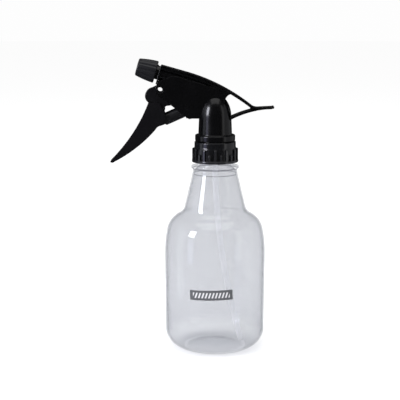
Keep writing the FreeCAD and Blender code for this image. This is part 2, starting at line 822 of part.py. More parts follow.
# ================================================================ one STEP file per piece
bottle_pieces = {
    "bottle": make_bottle(),
    "label_panel": make_label_panel(),
}
pump_pieces = {
    "neck_gasket": make_neck_gasket(),
    "collar": make_collar(),
    "pump_housing": make_pump_housing(),
    "inlet_body": make_inlet_body(),
    "riser_seal": make_riser_seal(),
    "inlet_ball": make_inlet_ball(),
    "ball_cage": make_ball_cage(),
    "dip_tube": make_dip_tube(),
    "outlet_seat": make_outlet_seat(),
    "outlet_ball": make_outlet_ball(),
    "outlet_spring": make_outlet_spring(),
    "swirl_core": make_swirl_core(),
    "nozzle": make_nozzle(),
    "nozzle_seal": make_nozzle_seal(),
    "orifice_disc": make_orifice_disc(),
    "piston": make_piston(),
    "return_spring": make_return_spring(),
    "trigger": make_trigger(),
}
for name, low in lip_places.items():
    pump_pieces[name] = make_lip_seal(low)
for shape in pump_pieces.values():
    shape.translate(Vector(0, 0, lip_height))

os.makedirs("parts", exist_ok=True)
for name, shape in {**bottle_pieces, **pump_pieces}.items():
    shape.exportStep(f"parts/{name}.step")
    print(f"{name}: {shape.Volume:.1f} mm3, {len(shape.Solids)} solid, valid {shape.isValid()}")
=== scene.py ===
"""Hand mister: the visible pieces, their finishes and the studio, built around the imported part.

Size fields are in millimetres. The bottle is drawn from the table up, and every piece of the pump is drawn
with its zero height at the bottle's lip, then lifted onto it. Finished meshes are in metres.
"""

import logging
import math
from collections.abc import Callable, Iterable
from dataclasses import dataclass, field
from enum import Enum

import bmesh
import bpy
from mathutils import Matrix, Vector


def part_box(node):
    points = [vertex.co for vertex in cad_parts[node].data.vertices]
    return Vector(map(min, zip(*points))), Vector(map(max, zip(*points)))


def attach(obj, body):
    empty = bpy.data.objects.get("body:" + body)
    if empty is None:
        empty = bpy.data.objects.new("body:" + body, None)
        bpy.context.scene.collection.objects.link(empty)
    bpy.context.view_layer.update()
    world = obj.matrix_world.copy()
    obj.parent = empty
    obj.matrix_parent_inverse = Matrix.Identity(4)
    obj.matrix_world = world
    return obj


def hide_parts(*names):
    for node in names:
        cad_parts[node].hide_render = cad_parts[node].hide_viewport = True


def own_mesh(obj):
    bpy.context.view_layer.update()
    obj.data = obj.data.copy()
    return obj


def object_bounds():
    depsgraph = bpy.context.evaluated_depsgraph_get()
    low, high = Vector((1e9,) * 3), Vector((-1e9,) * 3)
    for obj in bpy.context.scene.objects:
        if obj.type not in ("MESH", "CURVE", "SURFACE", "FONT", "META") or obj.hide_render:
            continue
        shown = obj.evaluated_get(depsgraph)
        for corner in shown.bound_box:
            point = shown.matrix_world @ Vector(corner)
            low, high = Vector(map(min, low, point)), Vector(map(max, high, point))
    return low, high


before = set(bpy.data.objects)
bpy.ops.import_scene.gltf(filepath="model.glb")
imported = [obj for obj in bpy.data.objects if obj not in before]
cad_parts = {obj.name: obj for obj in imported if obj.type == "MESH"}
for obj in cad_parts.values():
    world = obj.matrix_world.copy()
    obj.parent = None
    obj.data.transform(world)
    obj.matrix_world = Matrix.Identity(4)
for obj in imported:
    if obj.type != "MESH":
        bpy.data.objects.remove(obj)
cad_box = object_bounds()
log = logging.getLogger("hand_mister")

Mesh = bmesh.types.BMesh
Point = tuple[float, float]
Colour = tuple[float, float, float]

MM = 0.001
UP = Vector((0, 0, 1))
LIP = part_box("bottle")[1].z / MM
# The neck's screw thread: its rise in one turn, its depth, and how far below the lip it starts.
NECK_PITCH = 4.233
NECK_THREAD_DEPTH = 1.2
NECK_THREAD_DROP = 10.2
# How far a ridge's root stands inside its wall, and the faces round a bush or one turn of a thread.
SUNK = 0.15
FINE_STEPS = 48


# ------------------------------------------------------------------ drawing
class Outline:
    """Line drawn point by point in the XZ plane, as the edges of a bmesh."""

    def __init__(self, x: float, z: float) -> None:
        """Puts the pen down at a point.

        Args:
            x: where the pen goes down, along X.
            z: and along Z.
        """
        self.mesh: Mesh = bmesh.new()
        self.start = self.tip = self.mesh.verts.new((x, 0, z))
        self.corners: list[tuple[bmesh.types.BMVert, float]] = []

    def line(self, *points: tuple[float, ...]) -> "Outline":
        """Draws straight lines on to each point.

        Args:
            points: where the lines go, in order. A third number rounds the corner there.

        Returns:
            The outline itself.
        """
        for x, z, *rounding in points:
            new = self.mesh.verts.new((x, 0, z))
            self.mesh.edges.new((self.tip, new))
            self.tip = new
            for radius in rounding:
                self.soft(radius)
        return self

    def soft(self, radius: float) -> "Outline":
        """Marks the pen's point as a corner to be rounded."""
        self.corners.append((self.tip, radius))
        return self

    def arc(self, through: Point, end: Point) -> "Outline":
        """Draws an arc of a circle.

        Args:
            through: a point on the arc.
            end: where the arc ends.

        Returns:
            The outline itself.
        """
        here = (self.tip.co.x, self.tip.co.z)
        centre = circle_centre(here, through, end)
        turn = [math.atan2(centre[1] - z, x - centre[0]) for x, z in (here, through, end)]
        first, whole = ((t - turn[0]) % math.tau for t in turn[1:])
        angle = whole if first <= whole else whole - math.tau
        radius = math.dist(here, centre)
        step = min(math.radians(12), 2 * math.acos(max(0.0, 1 - 0.012 / radius)))
        result = bmesh.ops.spin(self.mesh, geom=[self.tip], cent=(centre[0], 0, centre[1]), axis=(0, 1, 0),
                                angle=angle, steps=max(2, math.ceil(abs(angle) / step)))
        self.tip = verts_of(result["geom_last"])[0]
        return self

    def closed(self) -> Mesh:
        """Joins the last point to the first and rounds the marked corners."""
        self.mesh.edges.new((self.tip, self.start))
        return self.open()

    def open(self) -> Mesh:
        """Rounds the marked corners of the line as it stands.

        Returns:
            The line's mesh.
        """
        for corner, radius in self.corners:
            bmesh.ops.bevel(self.mesh, geom=[corner], offset=radius, segments=4, profile=0.5,
                            affect="VERTICES", material=-1)
        return self.mesh


def verts_of(geometry: Iterable) -> list[bmesh.types.BMVert]:
    """The points among mixed pieces of geometry."""
    return [item for item in geometry if isinstance(item, bmesh.types.BMVert)]


def circle_centre(a: Point, b: Point, c: Point) -> Point:
    """Centre of the circle through three points.

    Args:
        a: the first point.
        b: the second point.
        c: the third point.

    Returns:
        The centre.
    """
    (ax, ay), (bx, by), (cx, cy) = a, b, c
    d = 2 * (ax * (by - cy) + bx * (cy - ay) + cx * (ay - by))
    squares = [x * x + y * y for x, y in (a, b, c)]
    across = (squares[0] * (by - cy) + squares[1] * (cy - ay) + squares[2] * (ay - by)) / d
    upward = (squares[0] * (cx - bx) + squares[1] * (ax - cx) + squares[2] * (bx - ax)) / d
    return across, upward


def tidy(mesh: Mesh) -> Mesh:
    """Merges doubled points and turns the faces outwards.

    Args:
        mesh: what is tidied.

    Returns:
        The same mesh.
    """
    bmesh.ops.remove_doubles(mesh, verts=mesh.verts, dist=1e-4)
    bmesh.ops.recalc_face_normals(mesh, faces=mesh.faces)
    return mesh


def turned(profile: Mesh, steps: int = 96) -> Mesh:
    """Solid of revolution about Z.

    Args:
        profile: a closed line, or an open one with both its ends on the axis.
        steps: faces round the turn.

    Returns:
        The profile's mesh, now closed and facing outwards.
    """
    bmesh.ops.spin(profile, geom=profile.verts[:] + profile.edges[:], axis=UP, angle=math.tau, steps=steps,
                   use_merge=True)
    return tidy(profile)


def slab(outline: Mesh, width: float, centre: float = 0.0) -> Mesh:
    """Plate from a closed outline.

    Args:
        outline: its side view.
        width: its size along Y.
        centre: the middle of that width.

    Returns:
        The outline's mesh, now a solid.
    """
    face = bmesh.ops.contextual_create(outline, geom=outline.edges[:])["faces"][0]
    bmesh.ops.translate(outline, verts=outline.verts, vec=(0, centre - width / 2, 0))
    raised = bmesh.ops.extrude_face_region(outline, geom=[face])["geom"]
    bmesh.ops.translate(outline, verts=verts_of(raised), vec=(0, width, 0))
    return tidy(outline)


def block(low: tuple[float, float, float], high: tuple[float, float, float]) -> Mesh:
    """Box between two opposite corners.

    Args:
        low: the corner with the least numbers.
        high: the corner with the greatest numbers.

    Returns:
        The box.
    """
    mesh = bmesh.new()
    middle, size = (Vector(low) + Vector(high)) / 2, Vector(high) - Vector(low)
    bmesh.ops.create_cube(mesh, matrix=Matrix.LocRotScale(middle, None, size))
    return mesh


def along_y(point: Point) -> Matrix:
    """Lays the Z axis along Y, at a point of the XZ plane."""
    return Matrix.Translation((point[0], 0, point[1])) @ Matrix.Rotation(math.pi / 2, 4, "X")


def cross_rod(radius: float, point: Point, width: float) -> Mesh:
    """Cylinder along Y, centred on y = 0.

    Args:
        radius: its radius.
        point: its axis in the XZ plane.
        width: its length along Y.

    Returns:
        The cylinder.
    """
    mesh = bmesh.new()
    bmesh.ops.create_cone(mesh, cap_ends=True, segments=FINE_STEPS, radius1=radius, radius2=radius,
                          depth=width, matrix=along_y(point))
    return mesh


def cross_ring(outer: float, inner: float, point: Point, width: float, edge: float) -> Mesh:
    """Bush along Y, centred on y = 0.

    Args:
        outer: its outer radius.
        inner: its inner radius.
        point: its axis in the XZ plane.
        width: its length along Y.
        edge: the rounding of its rims.

    Returns:
        The bush.
    """
    half = width / 2
    profile = Outline(inner, -half).line((outer, -half, edge), (outer, half, edge))
    return placed(turned(profile.line((inner, half)).closed(), FINE_STEPS), along_y(point))


def softened(mesh: Mesh, radius: float, segments: int = 2, sharper_than: float = 32.0,
             where: Callable[[bmesh.types.BMEdge], bool] = lambda edge: True) -> Mesh:
    """Rounds the edges that turn by more than an angle.

    Args:
        mesh: the solid.
        radius: of the rounding.
        segments: faces across the rounding.
        sharper_than: degrees.
        where: says whether an edge is one to round.

    Returns:
        The same mesh.
    """
    least = math.radians(sharper_than)
    edges = [e for e in mesh.edges if len(e.link_faces) == 2 and e.calc_face_angle(0) > least and where(e)]
    bmesh.ops.bevel(mesh, geom=edges, offset=radius, segments=segments, profile=0.5, affect="EDGES",
                    clamp_overlap=True, material=-1)
    return mesh


def placed(mesh: Mesh, matrix: Matrix) -> Mesh:
    """Moves a whole mesh."""
    bmesh.ops.transform(mesh, matrix=matrix, verts=mesh.verts)
    return mesh


def stored(name: str, mesh: Mesh) -> bpy.types.Mesh:
    """Stores a mesh as Blender's own mesh data.

    Args:
        name: the data's name.
        mesh: the mesh, which is freed.

    Returns:
        The data.
    """
    data = bpy.data.meshes.new(name)
    mesh.to_mesh(data)
    mesh.free()
    return data


def linked(name: str, data: bpy.types.ID) -> bpy.types.Object:
    """Puts an object into the scene.

    Args:
        name: the object's name.
        data: what it shows.

    Returns:
        The object.
    """
    item = bpy.data.objects.new(name, data)
    bpy.context.scene.collection.objects.link(item)
    return item


def joined(parts: Iterable[Mesh]) -> Mesh:
    """Puts several meshes into one.

    Args:
        parts: the meshes, which are freed.

    Returns:
        The whole.
    """
    whole = bmesh.new()
    for part in parts:
        data = stored("part", part)
        whole.from_mesh(data)
        bpy.data.meshes.remove(data)
    return whole


def carved(body: Mesh, operation: str, tool: Mesh) -> Mesh:
    """Cuts one solid with another.

    Args:
        body: what is cut.
        operation: DIFFERENCE or INTERSECT.
        tool: what cuts it.

    Returns:
        A new mesh, merged.
    """
    items = [linked("carving", stored("carving", mesh)) for mesh in (body, tool)]
    cut = items[0].modifiers.new("cut", "BOOLEAN")
    cut.operation, cut.solver, cut.object = operation, "EXACT", items[1]
    settled = items[0].evaluated_get(bpy.context.evaluated_depsgraph_get())
    cut_mesh = bpy.data.meshes.new_from_object(settled)
    result = bmesh.new()
    result.from_mesh(cut_mesh)
    for item in items:
        data = item.data
        bpy.data.objects.remove(item)
        bpy.data.meshes.remove(data)
    bpy.data.meshes.remove(cut_mesh)
    bmesh.ops.remove_doubles(result, verts=result.verts, dist=1e-4)
    bmesh.ops.dissolve_limit(result, angle_limit=math.radians(0.5), verts=result.verts, edges=result.edges,
                             delimit={"NORMAL"})
    return result


def screw_ridge(core: float, crest: float, root_width: float, crest_width: float, pitch: float, turns: float,
                start: float) -> Mesh:
    """Helical ridge about Z.

    Args:
        core: radius that the ridge stands on.
        crest: radius of its outer edge.
        root_width: along Z, at the core.
        crest_width: along Z, at the crest.
        pitch: rise in one turn.
        turns: number of turns.
        start: height of the middle of its first end.

    Returns:
        The closed ridge.
    """
    sunk = core - SUNK
    profile = Outline(sunk, start - root_width / 2).line((crest, start - crest_width / 2),
                                                         (crest, start + crest_width / 2),
                                                         (sunk, start + root_width / 2)).closed()
    return swept(profile, pitch, turns, FINE_STEPS)


def swept(profile: Mesh, pitch: float, turns: float, steps_in_turn: int) -> Mesh:
    """Carries a closed line round Z and up it, and closes both its ends.

    Args:
        profile: the line.
        pitch: rise in one turn.
        turns: number of turns.
        steps_in_turn: faces round one turn.

    Returns:
        The line's mesh, now a solid.
    """
    steps = round(turns * steps_in_turn)
    bmesh.ops.spin(profile, geom=profile.verts[:] + profile.edges[:], axis=UP, angle=math.tau * turns,
                   steps=steps, dvec=(0, 0, pitch * turns / steps))
    bmesh.ops.holes_fill(profile, edges=[e for e in profile.edges if e.is_boundary], sides=0)
    return tidy(profile)


def coil(radius: float, wire: float, turns: int, low: float, high: float) -> Mesh:
    """Compression spring about Z.

    Args:
        radius: from the axis to the middle of the wire.
        wire: the wire's radius.
        turns: number of turns.
        low: height of its lower end.
        high: height of its upper end.

    Returns:
        The spring.
    """
    mesh = bmesh.new()
    bmesh.ops.create_circle(mesh, segments=10, radius=wire, matrix=along_y((radius, low + wire)))
    return swept(mesh, (high - low - 2 * wire) / turns, turns, 28)


def axis_point(origin: Point, from_vertical: float, distance: float) -> Point:
    """Point at a distance along a leaning axis."""
    angle = math.radians(from_vertical)
    return origin[0] + distance * math.sin(angle), origin[1] + distance * math.cos(angle)


def band(drop: Point, start: Point, *moves: tuple) -> Mesh:
    """Side view of a strip: a line drawn by moves, and the same line moved by a drop.

    Args:
        drop: from the upper line to the lower one.
        start: where the upper line begins.
        moves: points for straight lines, or pairs of points for arcs.

    Returns:
        The closed outline.
    """
    def under(point: Point) -> Point:
        """Point of the lower line."""
        return point[0] + drop[0], point[1] + drop[1]

    arcs = [isinstance(move[0], tuple) for move in moves]
    ends = [start] + [move[1] if arc else move for move, arc in zip(moves, arcs)]
    outline = Outline(*start)
    for move, arc in zip(moves, arcs):
        outline = outline.arc(*move) if arc else outline.line(move)
    outline.line(under(ends[-1]))
    for move, arc, end in zip(moves[::-1], arcs[::-1], ends[-2::-1]):
        outline = outline.arc(under(move[0]), under(end)) if arc else outline.line(under(end))
    return outline.closed()


# ------------------------------------------------------------------ shader maths
class Value:
    """Number that a node gives. Arithmetic on it adds Math nodes."""

    def __init__(self, graph: "Graph", socket: bpy.types.NodeSocket) -> None:
        """Wraps a node's output."""
        self.graph, self.socket = graph, socket

    def _math(self, operation: str, first: "Value | float", second: "Value | float") -> "Value":
        """Adds one Math node."""
        return self.graph.add("ShaderNodeMath", {"operation": operation}, {0: first, 1: second})

    def __add__(self, other: "Value | float") -> "Value":
        """Sum."""
        return self._math("ADD", self, other)

    def __sub__(self, other: "Value | float") -> "Value":
        """Difference."""
        return self._math("SUBTRACT", self, other)

    def __rsub__(self, other: float) -> "Value":
        """Number less this."""
        return self._math("SUBTRACT", other, self)

    def __mul__(self, other: "Value | float") -> "Value":
        """Product."""
        return self._math("MULTIPLY", self, other)

    def __pow__(self, other: float) -> "Value":
        """Power."""
        return self._math("POWER", self, other)

    def __gt__(self, other: float) -> "Value":
        """1 where this is greater."""
        return self._math("GREATER_THAN", self, other)

    def __lt__(self, other: float) -> "Value":
        """1 where this is less."""
        return self._math("LESS_THAN", self, other)

    __radd__ = __add__
    __rmul__ = __mul__

    def size(self) -> "Value":
        """Absolute value."""
        return self._math("ABSOLUTE", self, 0.0)


class Graph:
    """Node tree that is built by calls."""

    def __init__(self, tree: bpy.types.NodeTree) -> None:
        """Empties the tree."""
        self.tree = tree
        tree.nodes.clear()

    def add(self, kind: str, settings: dict | None = None, inputs: dict | None = None,
            output: str | int = 0) -> Value:
        """Adds one node.

        Args:
            kind: the node's type name.
            settings: its attributes, set first.
            inputs: values or links by socket name or number.
            output: which of its outputs is returned.

        Returns:
            That output.
        """
        node = self.tree.nodes.new(kind)
        for name, value in (settings or {}).items():
            setattr(node, name, value)
        for name, value in (inputs or {}).items():
            if isinstance(value, Value):
                self.tree.links.new(value.socket, node.inputs[name])
            else:
                socket = node.inputs[name]
                socket.default_value = (*value, 1.0) if socket.type == "RGBA" else value
        return Value(self, node.outputs[output] if node.outputs else None)

    def coordinates(self, scale: Colour = (1.0, 1.0, 1.0), centre: Colour = (0.0, 0.0, 0.0),
                    turn: Colour = (0.0, 0.0, 0.0)) -> Value:
        """Object coordinates, centred, turned and scaled.

        Args:
            scale: along each axis.
            centre: the point that becomes the origin.
            turn: about each axis, in radians.

        Returns:
            The node's output.
        """
        place = self.add("ShaderNodeTexCoord", output="Object")
        return self.add("ShaderNodeMapping", {"vector_type": "TEXTURE"},
                        {"Vector": place, "Location": centre, "Rotation": turn,
                         "Scale": tuple(1 / s for s in scale)})

    def noise(self, scale: float, detail: float = 3.0, stretch: Colour = (1.0, 1.0, 1.0)) -> Value:
        """Cloudy noise with so many lumps to the metre."""
        return self.add("ShaderNodeTexNoise", {}, {"Vector": self.coordinates(stretch), "Scale": scale,
                                                   "Detail": detail})

    def blend(self, share: Value | float, low: Value | Colour, high: Value | Colour) -> Value:
        """Colour between two colours."""
        return self.add("ShaderNodeMix", {"data_type": "RGBA"}, {0: share, 6: low, 7: high}, output=2)

    def bump(self, height: Value, distance: float, strength: float) -> Value:
        """Surface normal tilted by a height."""
        return self.add("ShaderNodeBump", {}, {"Height": height, "Distance": distance, "Strength": strength})

    def rise(self, value: Value, low: float, high: float) -> Value:
        """0 at one value, turning softly to 1 at another."""
        return self.add("ShaderNodeMapRange", {"interpolation_type": "SMOOTHSTEP"},
                        {"Value": value, "From Min": low, "From Max": high})

    def near(self, value: Value, centre: float, half: float) -> Value:
        """1 at a centre, falling softly to 0 at half a width away."""
        return self.rise((value - centre).size(), half, 0.0)

    def mix(self, share: Value | float, first: Value, second: Value) -> Value:
        """Two shaders mixed."""
        return self.add("ShaderNodeMixShader", {}, {0: share, 1: first, 2: second})

    def part(self, place: Value, axis: str) -> Value:
        """One of the three numbers of a place."""
        return self.add("ShaderNodeSeparateXYZ", {}, {0: place}, output=axis)

    def principled(self, inputs: dict) -> Value:
        """General surface shader."""
        return self.add("ShaderNodeBsdfPrincipled", {}, inputs)

    def clear(self, tint: Colour) -> Value:
        """Tinted see-through shader."""
        return self.add("ShaderNodeBsdfTransparent", {}, {"Color": tint})

    def surface(self, shader: Value) -> None:
        """Ends the graph in this shader."""
        self.add("ShaderNodeOutputMaterial", {}, {"Surface": shader})


def new_material(name: str) -> tuple[bpy.types.Material, Graph]:
    """An empty material and its graph.

    Args:
        name: the material's name.

    Returns:
        The material and its graph.
    """
    material = bpy.data.materials.new(name)
    material.use_nodes = True
    return material, Graph(material.node_tree)


class Polish(Enum):
    """How a mould was finished, as the roughness it leaves."""

    GLOSS = 0.24
    SATIN = 0.34


@dataclass(frozen=True)
class MouldedPlastic:
    """Opaque injection-moulded plastic with a fine skin and faint flow marks."""

    name: str
    colour: Colour
    paler: Colour
    polish: Polish
    coat: float = 0.0
    ior: float = 1.5
    # Painted highlight: a paler colour on faces beyond a radius about Z, such as the rib tops; radius and
    # fade in millimetres.
    painted_highlight_radius: float = 0.0
    painted_highlight: Colour = (0.0, 0.0, 0.0)
    painted_highlight_fade: float = 0.8
    grain: float = 0.000012

    def make(self) -> bpy.types.Material:
        """Builds the material.

        Returns:
            The material.
        """
        material, graph = new_material(self.name)
        clouds = graph.noise(70.0)
        flow = graph.noise(240.0, 2.0, (1.0, 1.0, 0.25))
        skin = graph.noise(5200.0, 2.0)
        rough = self.polish.value + (clouds - 0.5) * 0.16 + (flow - 0.5) * 0.08
        base = graph.blend((clouds * 0.6 + flow * 0.4) ** 2.0, self.colour, self.paler)
        # Painted highlight: faces further out than a radius turn to a paler colour.
        if self.painted_highlight_radius:
            flat = graph.coordinates((1.0, 1.0, 0.0001))
            radius = graph.add("ShaderNodeVectorMath", {"operation": "LENGTH"}, {0: flat}, output="Value")
            outer = graph.rise(radius, (self.painted_highlight_radius - self.painted_highlight_fade) * MM, self.painted_highlight_radius * MM)
            base = graph.blend(outer, base, self.painted_highlight)
        graph.surface(graph.principled({
            "Base Color": base, "Roughness": rough, "IOR": self.ior, "Coat Weight": self.coat,
            "Coat Roughness": 0.06, "Normal": graph.bump(skin + flow * 1.5, self.grain, 0.35)}))
        return material


@dataclass(frozen=True)
class ClearPlastic:
    """See-through plastic wall: tinted, darker where it is seen along its surface, with a gloss on it."""

    name: str
    tint: Colour
    edge_tint: Colour
    haze: float
    edge_haze: float
    haze_colour: Colour
    edge_power: float = 3.0
    # Painted shade: dark bands at given heights and half widths (mm), in a dark tint.
    painted_shade_bands: tuple[Point, ...] = ()
    painted_shade_tint: Colour = (0.5, 0.5, 0.53)
    # Painted light: within this many millimetres of the base the wall turns paler, lifting the shade seen
    # through the foot.
    painted_light_below: float = 0.0
    painted_light_tint: Colour = (0.985, 0.986, 0.99)
    # Painted glow: the haze colour is also emitted at this strength, though the wall is no lamp.
    painted_glow: float = 0.0

    def make(self) -> bpy.types.Material:
        """Builds the material.

        Returns:
            The material.
        """
        material, graph = new_material(self.name)
        along = graph.add("ShaderNodeLayerWeight", {}, {"Blend": 0.5}, output="Facing")
        ripple = graph.noise(55.0, 2.0, (1.0, 1.0, 0.35))
        normal = graph.bump(ripple, 0.0006, 0.10)
        through = graph.mix(along ** self.edge_power, graph.clear(self.tint), graph.clear(self.edge_tint))
        height = graph.part(graph.coordinates(), "Z")
        # Painted shade: bands of darker tint at the given heights.
        for level, half in self.painted_shade_bands:
            through = graph.mix(graph.near(height, level * MM, half * MM), through,
                                graph.clear(self.painted_shade_tint))
        # Painted light: the wall turns paler near the base.
        if self.painted_light_below:
            through = graph.mix(graph.near(height, 0.0, self.painted_light_below * MM), through,
                                graph.clear(self.painted_light_tint))
        # The haze colour also glows by the painted glow strength.
        milky = graph.principled({
            "Base Color": self.haze_colour, "Roughness": 0.45, "IOR": 1.45, "Normal": normal,
            "Emission Color": self.haze_colour, "Emission Strength": self.painted_glow})
        cloudy = self.haze * 0.6 + ripple * (self.haze * 0.8) + (along ** self.edge_power) * self.edge_haze
        body = graph.mix(cloudy, through, milky)
        gloss = graph.principled({
            "Base Color": (1.0, 1.0, 1.0), "Metallic": 1.0, "Roughness": 0.035, "Normal": normal})
        graph.surface(graph.mix(0.04 + (along ** 6.0) * 0.3, body, gloss))
        return material


@dataclass(frozen=True)
class Rubber:
    """Soft pale seal."""

    name: str
    colour: Colour
    darker: Colour

    def make(self) -> bpy.types.Material:
        """Builds the material.

        Returns:
            The material.
        """
        material, graph = new_material(self.name)
        speckle = graph.noise(1800.0, 4.0)
        clouds = graph.noise(160.0)
        graph.surface(graph.principled({
            "Base Color": graph.blend(clouds * 0.7 + speckle * 0.3, self.colour, self.darker),
            "Roughness": 0.62 + (speckle - 0.5) * 0.2, "Normal": graph.bump(speckle, 0.00002, 0.4)}))
        return material


@dataclass(frozen=True)
class SpringSteel:
    """Bright stainless wire and balls, with fine drawing marks."""

    name: str
    colour: Colour
    darker: Colour

    def make(self) -> bpy.types.Material:
        """Builds the material.

        Returns:
            The material.
        """
        material, graph = new_material(self.name)
        marks = graph.noise(2600.0, 3.0, (1.0, 1.0, 0.15))
        clouds = graph.noise(300.0)
        graph.surface(graph.principled({
            "Base Color": graph.blend(clouds, self.colour, self.darker), "Metallic": 1.0,
            "Roughness": 0.16 + marks * 0.18, "Normal": graph.bump(marks, 0.000008, 0.3)}))
        return material


@dataclass(frozen=True)
class PrintedPanel:
    """Dark printed rectangle with a pale band of slanted strokes across its middle."""

    name: str
    ink: Colour
    pale: Colour
    centre: Colour
    half_width: float
    half_height: float
    tilt: float
    slant: float = 0.35
    stroke_pitch: float = 0.00115
    stroke_gap: float = 0.00062

    def make(self) -> bpy.types.Material:
        """Builds the material.

        Returns:
            The material.
        """
        material, graph = new_material(self.name)
        place = graph.coordinates(centre=self.centre, turn=(0.0, -math.radians(self.tilt), 0.0))
        across, upward = graph.part(place, "X"), graph.part(place, "Z")
        band = (across.size() < self.half_width) * (upward.size() < self.half_height)
        slanted = across - upward * self.slant
        wave = graph.add("ShaderNodeMath", {"operation": "PINGPONG"}, {0: slanted, 1: self.stroke_pitch})
        grain = graph.noise(3800.0, 2.0)
        mask = band * (wave > self.stroke_gap) * (0.75 + grain * 0.2)
        ink = graph.blend(grain, self.ink, tuple(c * 1.25 for c in self.ink))
        base = graph.blend(mask, ink, self.pale)
        graph.surface(graph.principled({
            "Base Color": base, "Roughness": 0.5 + (grain - 0.5) * 0.2,
            "Normal": graph.bump(grain + mask, 0.00001, 0.3)}))
        return material


# ------------------------------------------------------------------ handing a piece over
class Finishes:
    """One material for each finish of the mister."""

    def __init__(self) -> None:
        """Makes the materials."""
        # The bottle's bands at 127.4 and 123.6 mm are painted shade.
        self.bottle = ClearPlastic(
            "clear_bottle_plastic", (0.884, 0.888, 0.898), (0.82, 0.83, 0.85), 0.05, 0.10, (0.66, 0.68, 0.72),
            # The last number, 15.0 mm, is painted light that pales the wall near the base.
            6.0, ((127.4, 0.65), (123.6, 0.35)), (0.50, 0.50, 0.53), 15.0).make()
        # The tube has a painted glow.
        self.tube = ClearPlastic(
            "clear_tube_plastic", (0.992, 0.993, 0.995), (0.97, 0.97, 0.975), 0.08, 0.45, (0.95, 0.95, 0.96),
            3.0, painted_glow=0.4).make()
        # The collar's paler colour beyond 15.9 mm is painted highlight on its ribs and rim.
        self.collar = MouldedPlastic(
            "collar_black_plastic", (0.0024, 0.0026, 0.0038), (0.0044, 0.0048, 0.0066), Polish.GLOSS, 0.5,
            1.65, 15.9, (0.0105, 0.0110, 0.0130)).make()
        self.housing = MouldedPlastic(
            "housing_black_plastic", (0.0010, 0.0010, 0.0014), (0.0022, 0.0022, 0.0030), Polish.GLOSS,
            0.3).make()
        self.trigger = MouldedPlastic(
            "trigger_black_plastic", (0.0024, 0.0020, 0.0034), (0.0045, 0.0040, 0.0060), Polish.SATIN).make()
        self.nozzle = MouldedPlastic(
            "nozzle_black_plastic", (0.0065, 0.0068, 0.0088), (0.011, 0.0115, 0.0142), Polish.SATIN,
            0.10).make()
        self.piston = MouldedPlastic(
            "piston_black_plastic", (0.0045, 0.0046, 0.006), (0.009, 0.0092, 0.0112), Polish.SATIN,
            0.15).make()
        self.natural = MouldedPlastic(
            "natural_white_plastic", (0.74, 0.74, 0.71), (0.82, 0.82, 0.80), Polish.SATIN).make()
        self.rubber = Rubber("pale_seal_rubber", (0.66, 0.66, 0.63), (0.52, 0.52, 0.50)).make()
        self.steel = SpringSteel("bright_spring_steel", (0.68, 0.68, 0.69), (0.50, 0.50, 0.52)).make()


def finished(name: str, mesh: Mesh, material: bpy.types.Material, body: str,
             lift: float = LIP, stands_for: tuple[str, ...] = (), sharp: float = 50.0,
             weighted: bool = True) -> bpy.types.Object:
    """Turns a bmesh in millimetres into a piece that rides on a body.

    Args:
        name: the piece's name.
        mesh: its shape.
        material: its finish.
        body: the CAD body that it moves with.
        lift: how far the drawing is raised, in millimetres.
        stands_for: the CAD nodes that it replaces.
        sharp: edges that turn by more than so many degrees stay sharp in the shading.
        weighted: whether large faces set the shading of the roundings beside them.

    Returns:
        The piece.
    """
    placed(mesh, Matrix.Scale(MM, 4) @ Matrix.Translation((0, 0, lift)))
    data = stored(name, mesh)
    data.polygons.foreach_set("use_smooth", [True] * len(data.polygons))
    data.set_sharp_from_angle(angle=math.radians(sharp))
    data.materials.append(material)
    piece = linked(name, data)
    if weighted:
        piece.modifiers.new("flat_faces", "WEIGHTED_NORMAL").keep_sharp = True
    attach(piece, body)
    if stands_for:
        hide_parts(*stands_for)
    log.info("%s: %d faces on %s", name, len(data.polygons), body)
    return piece


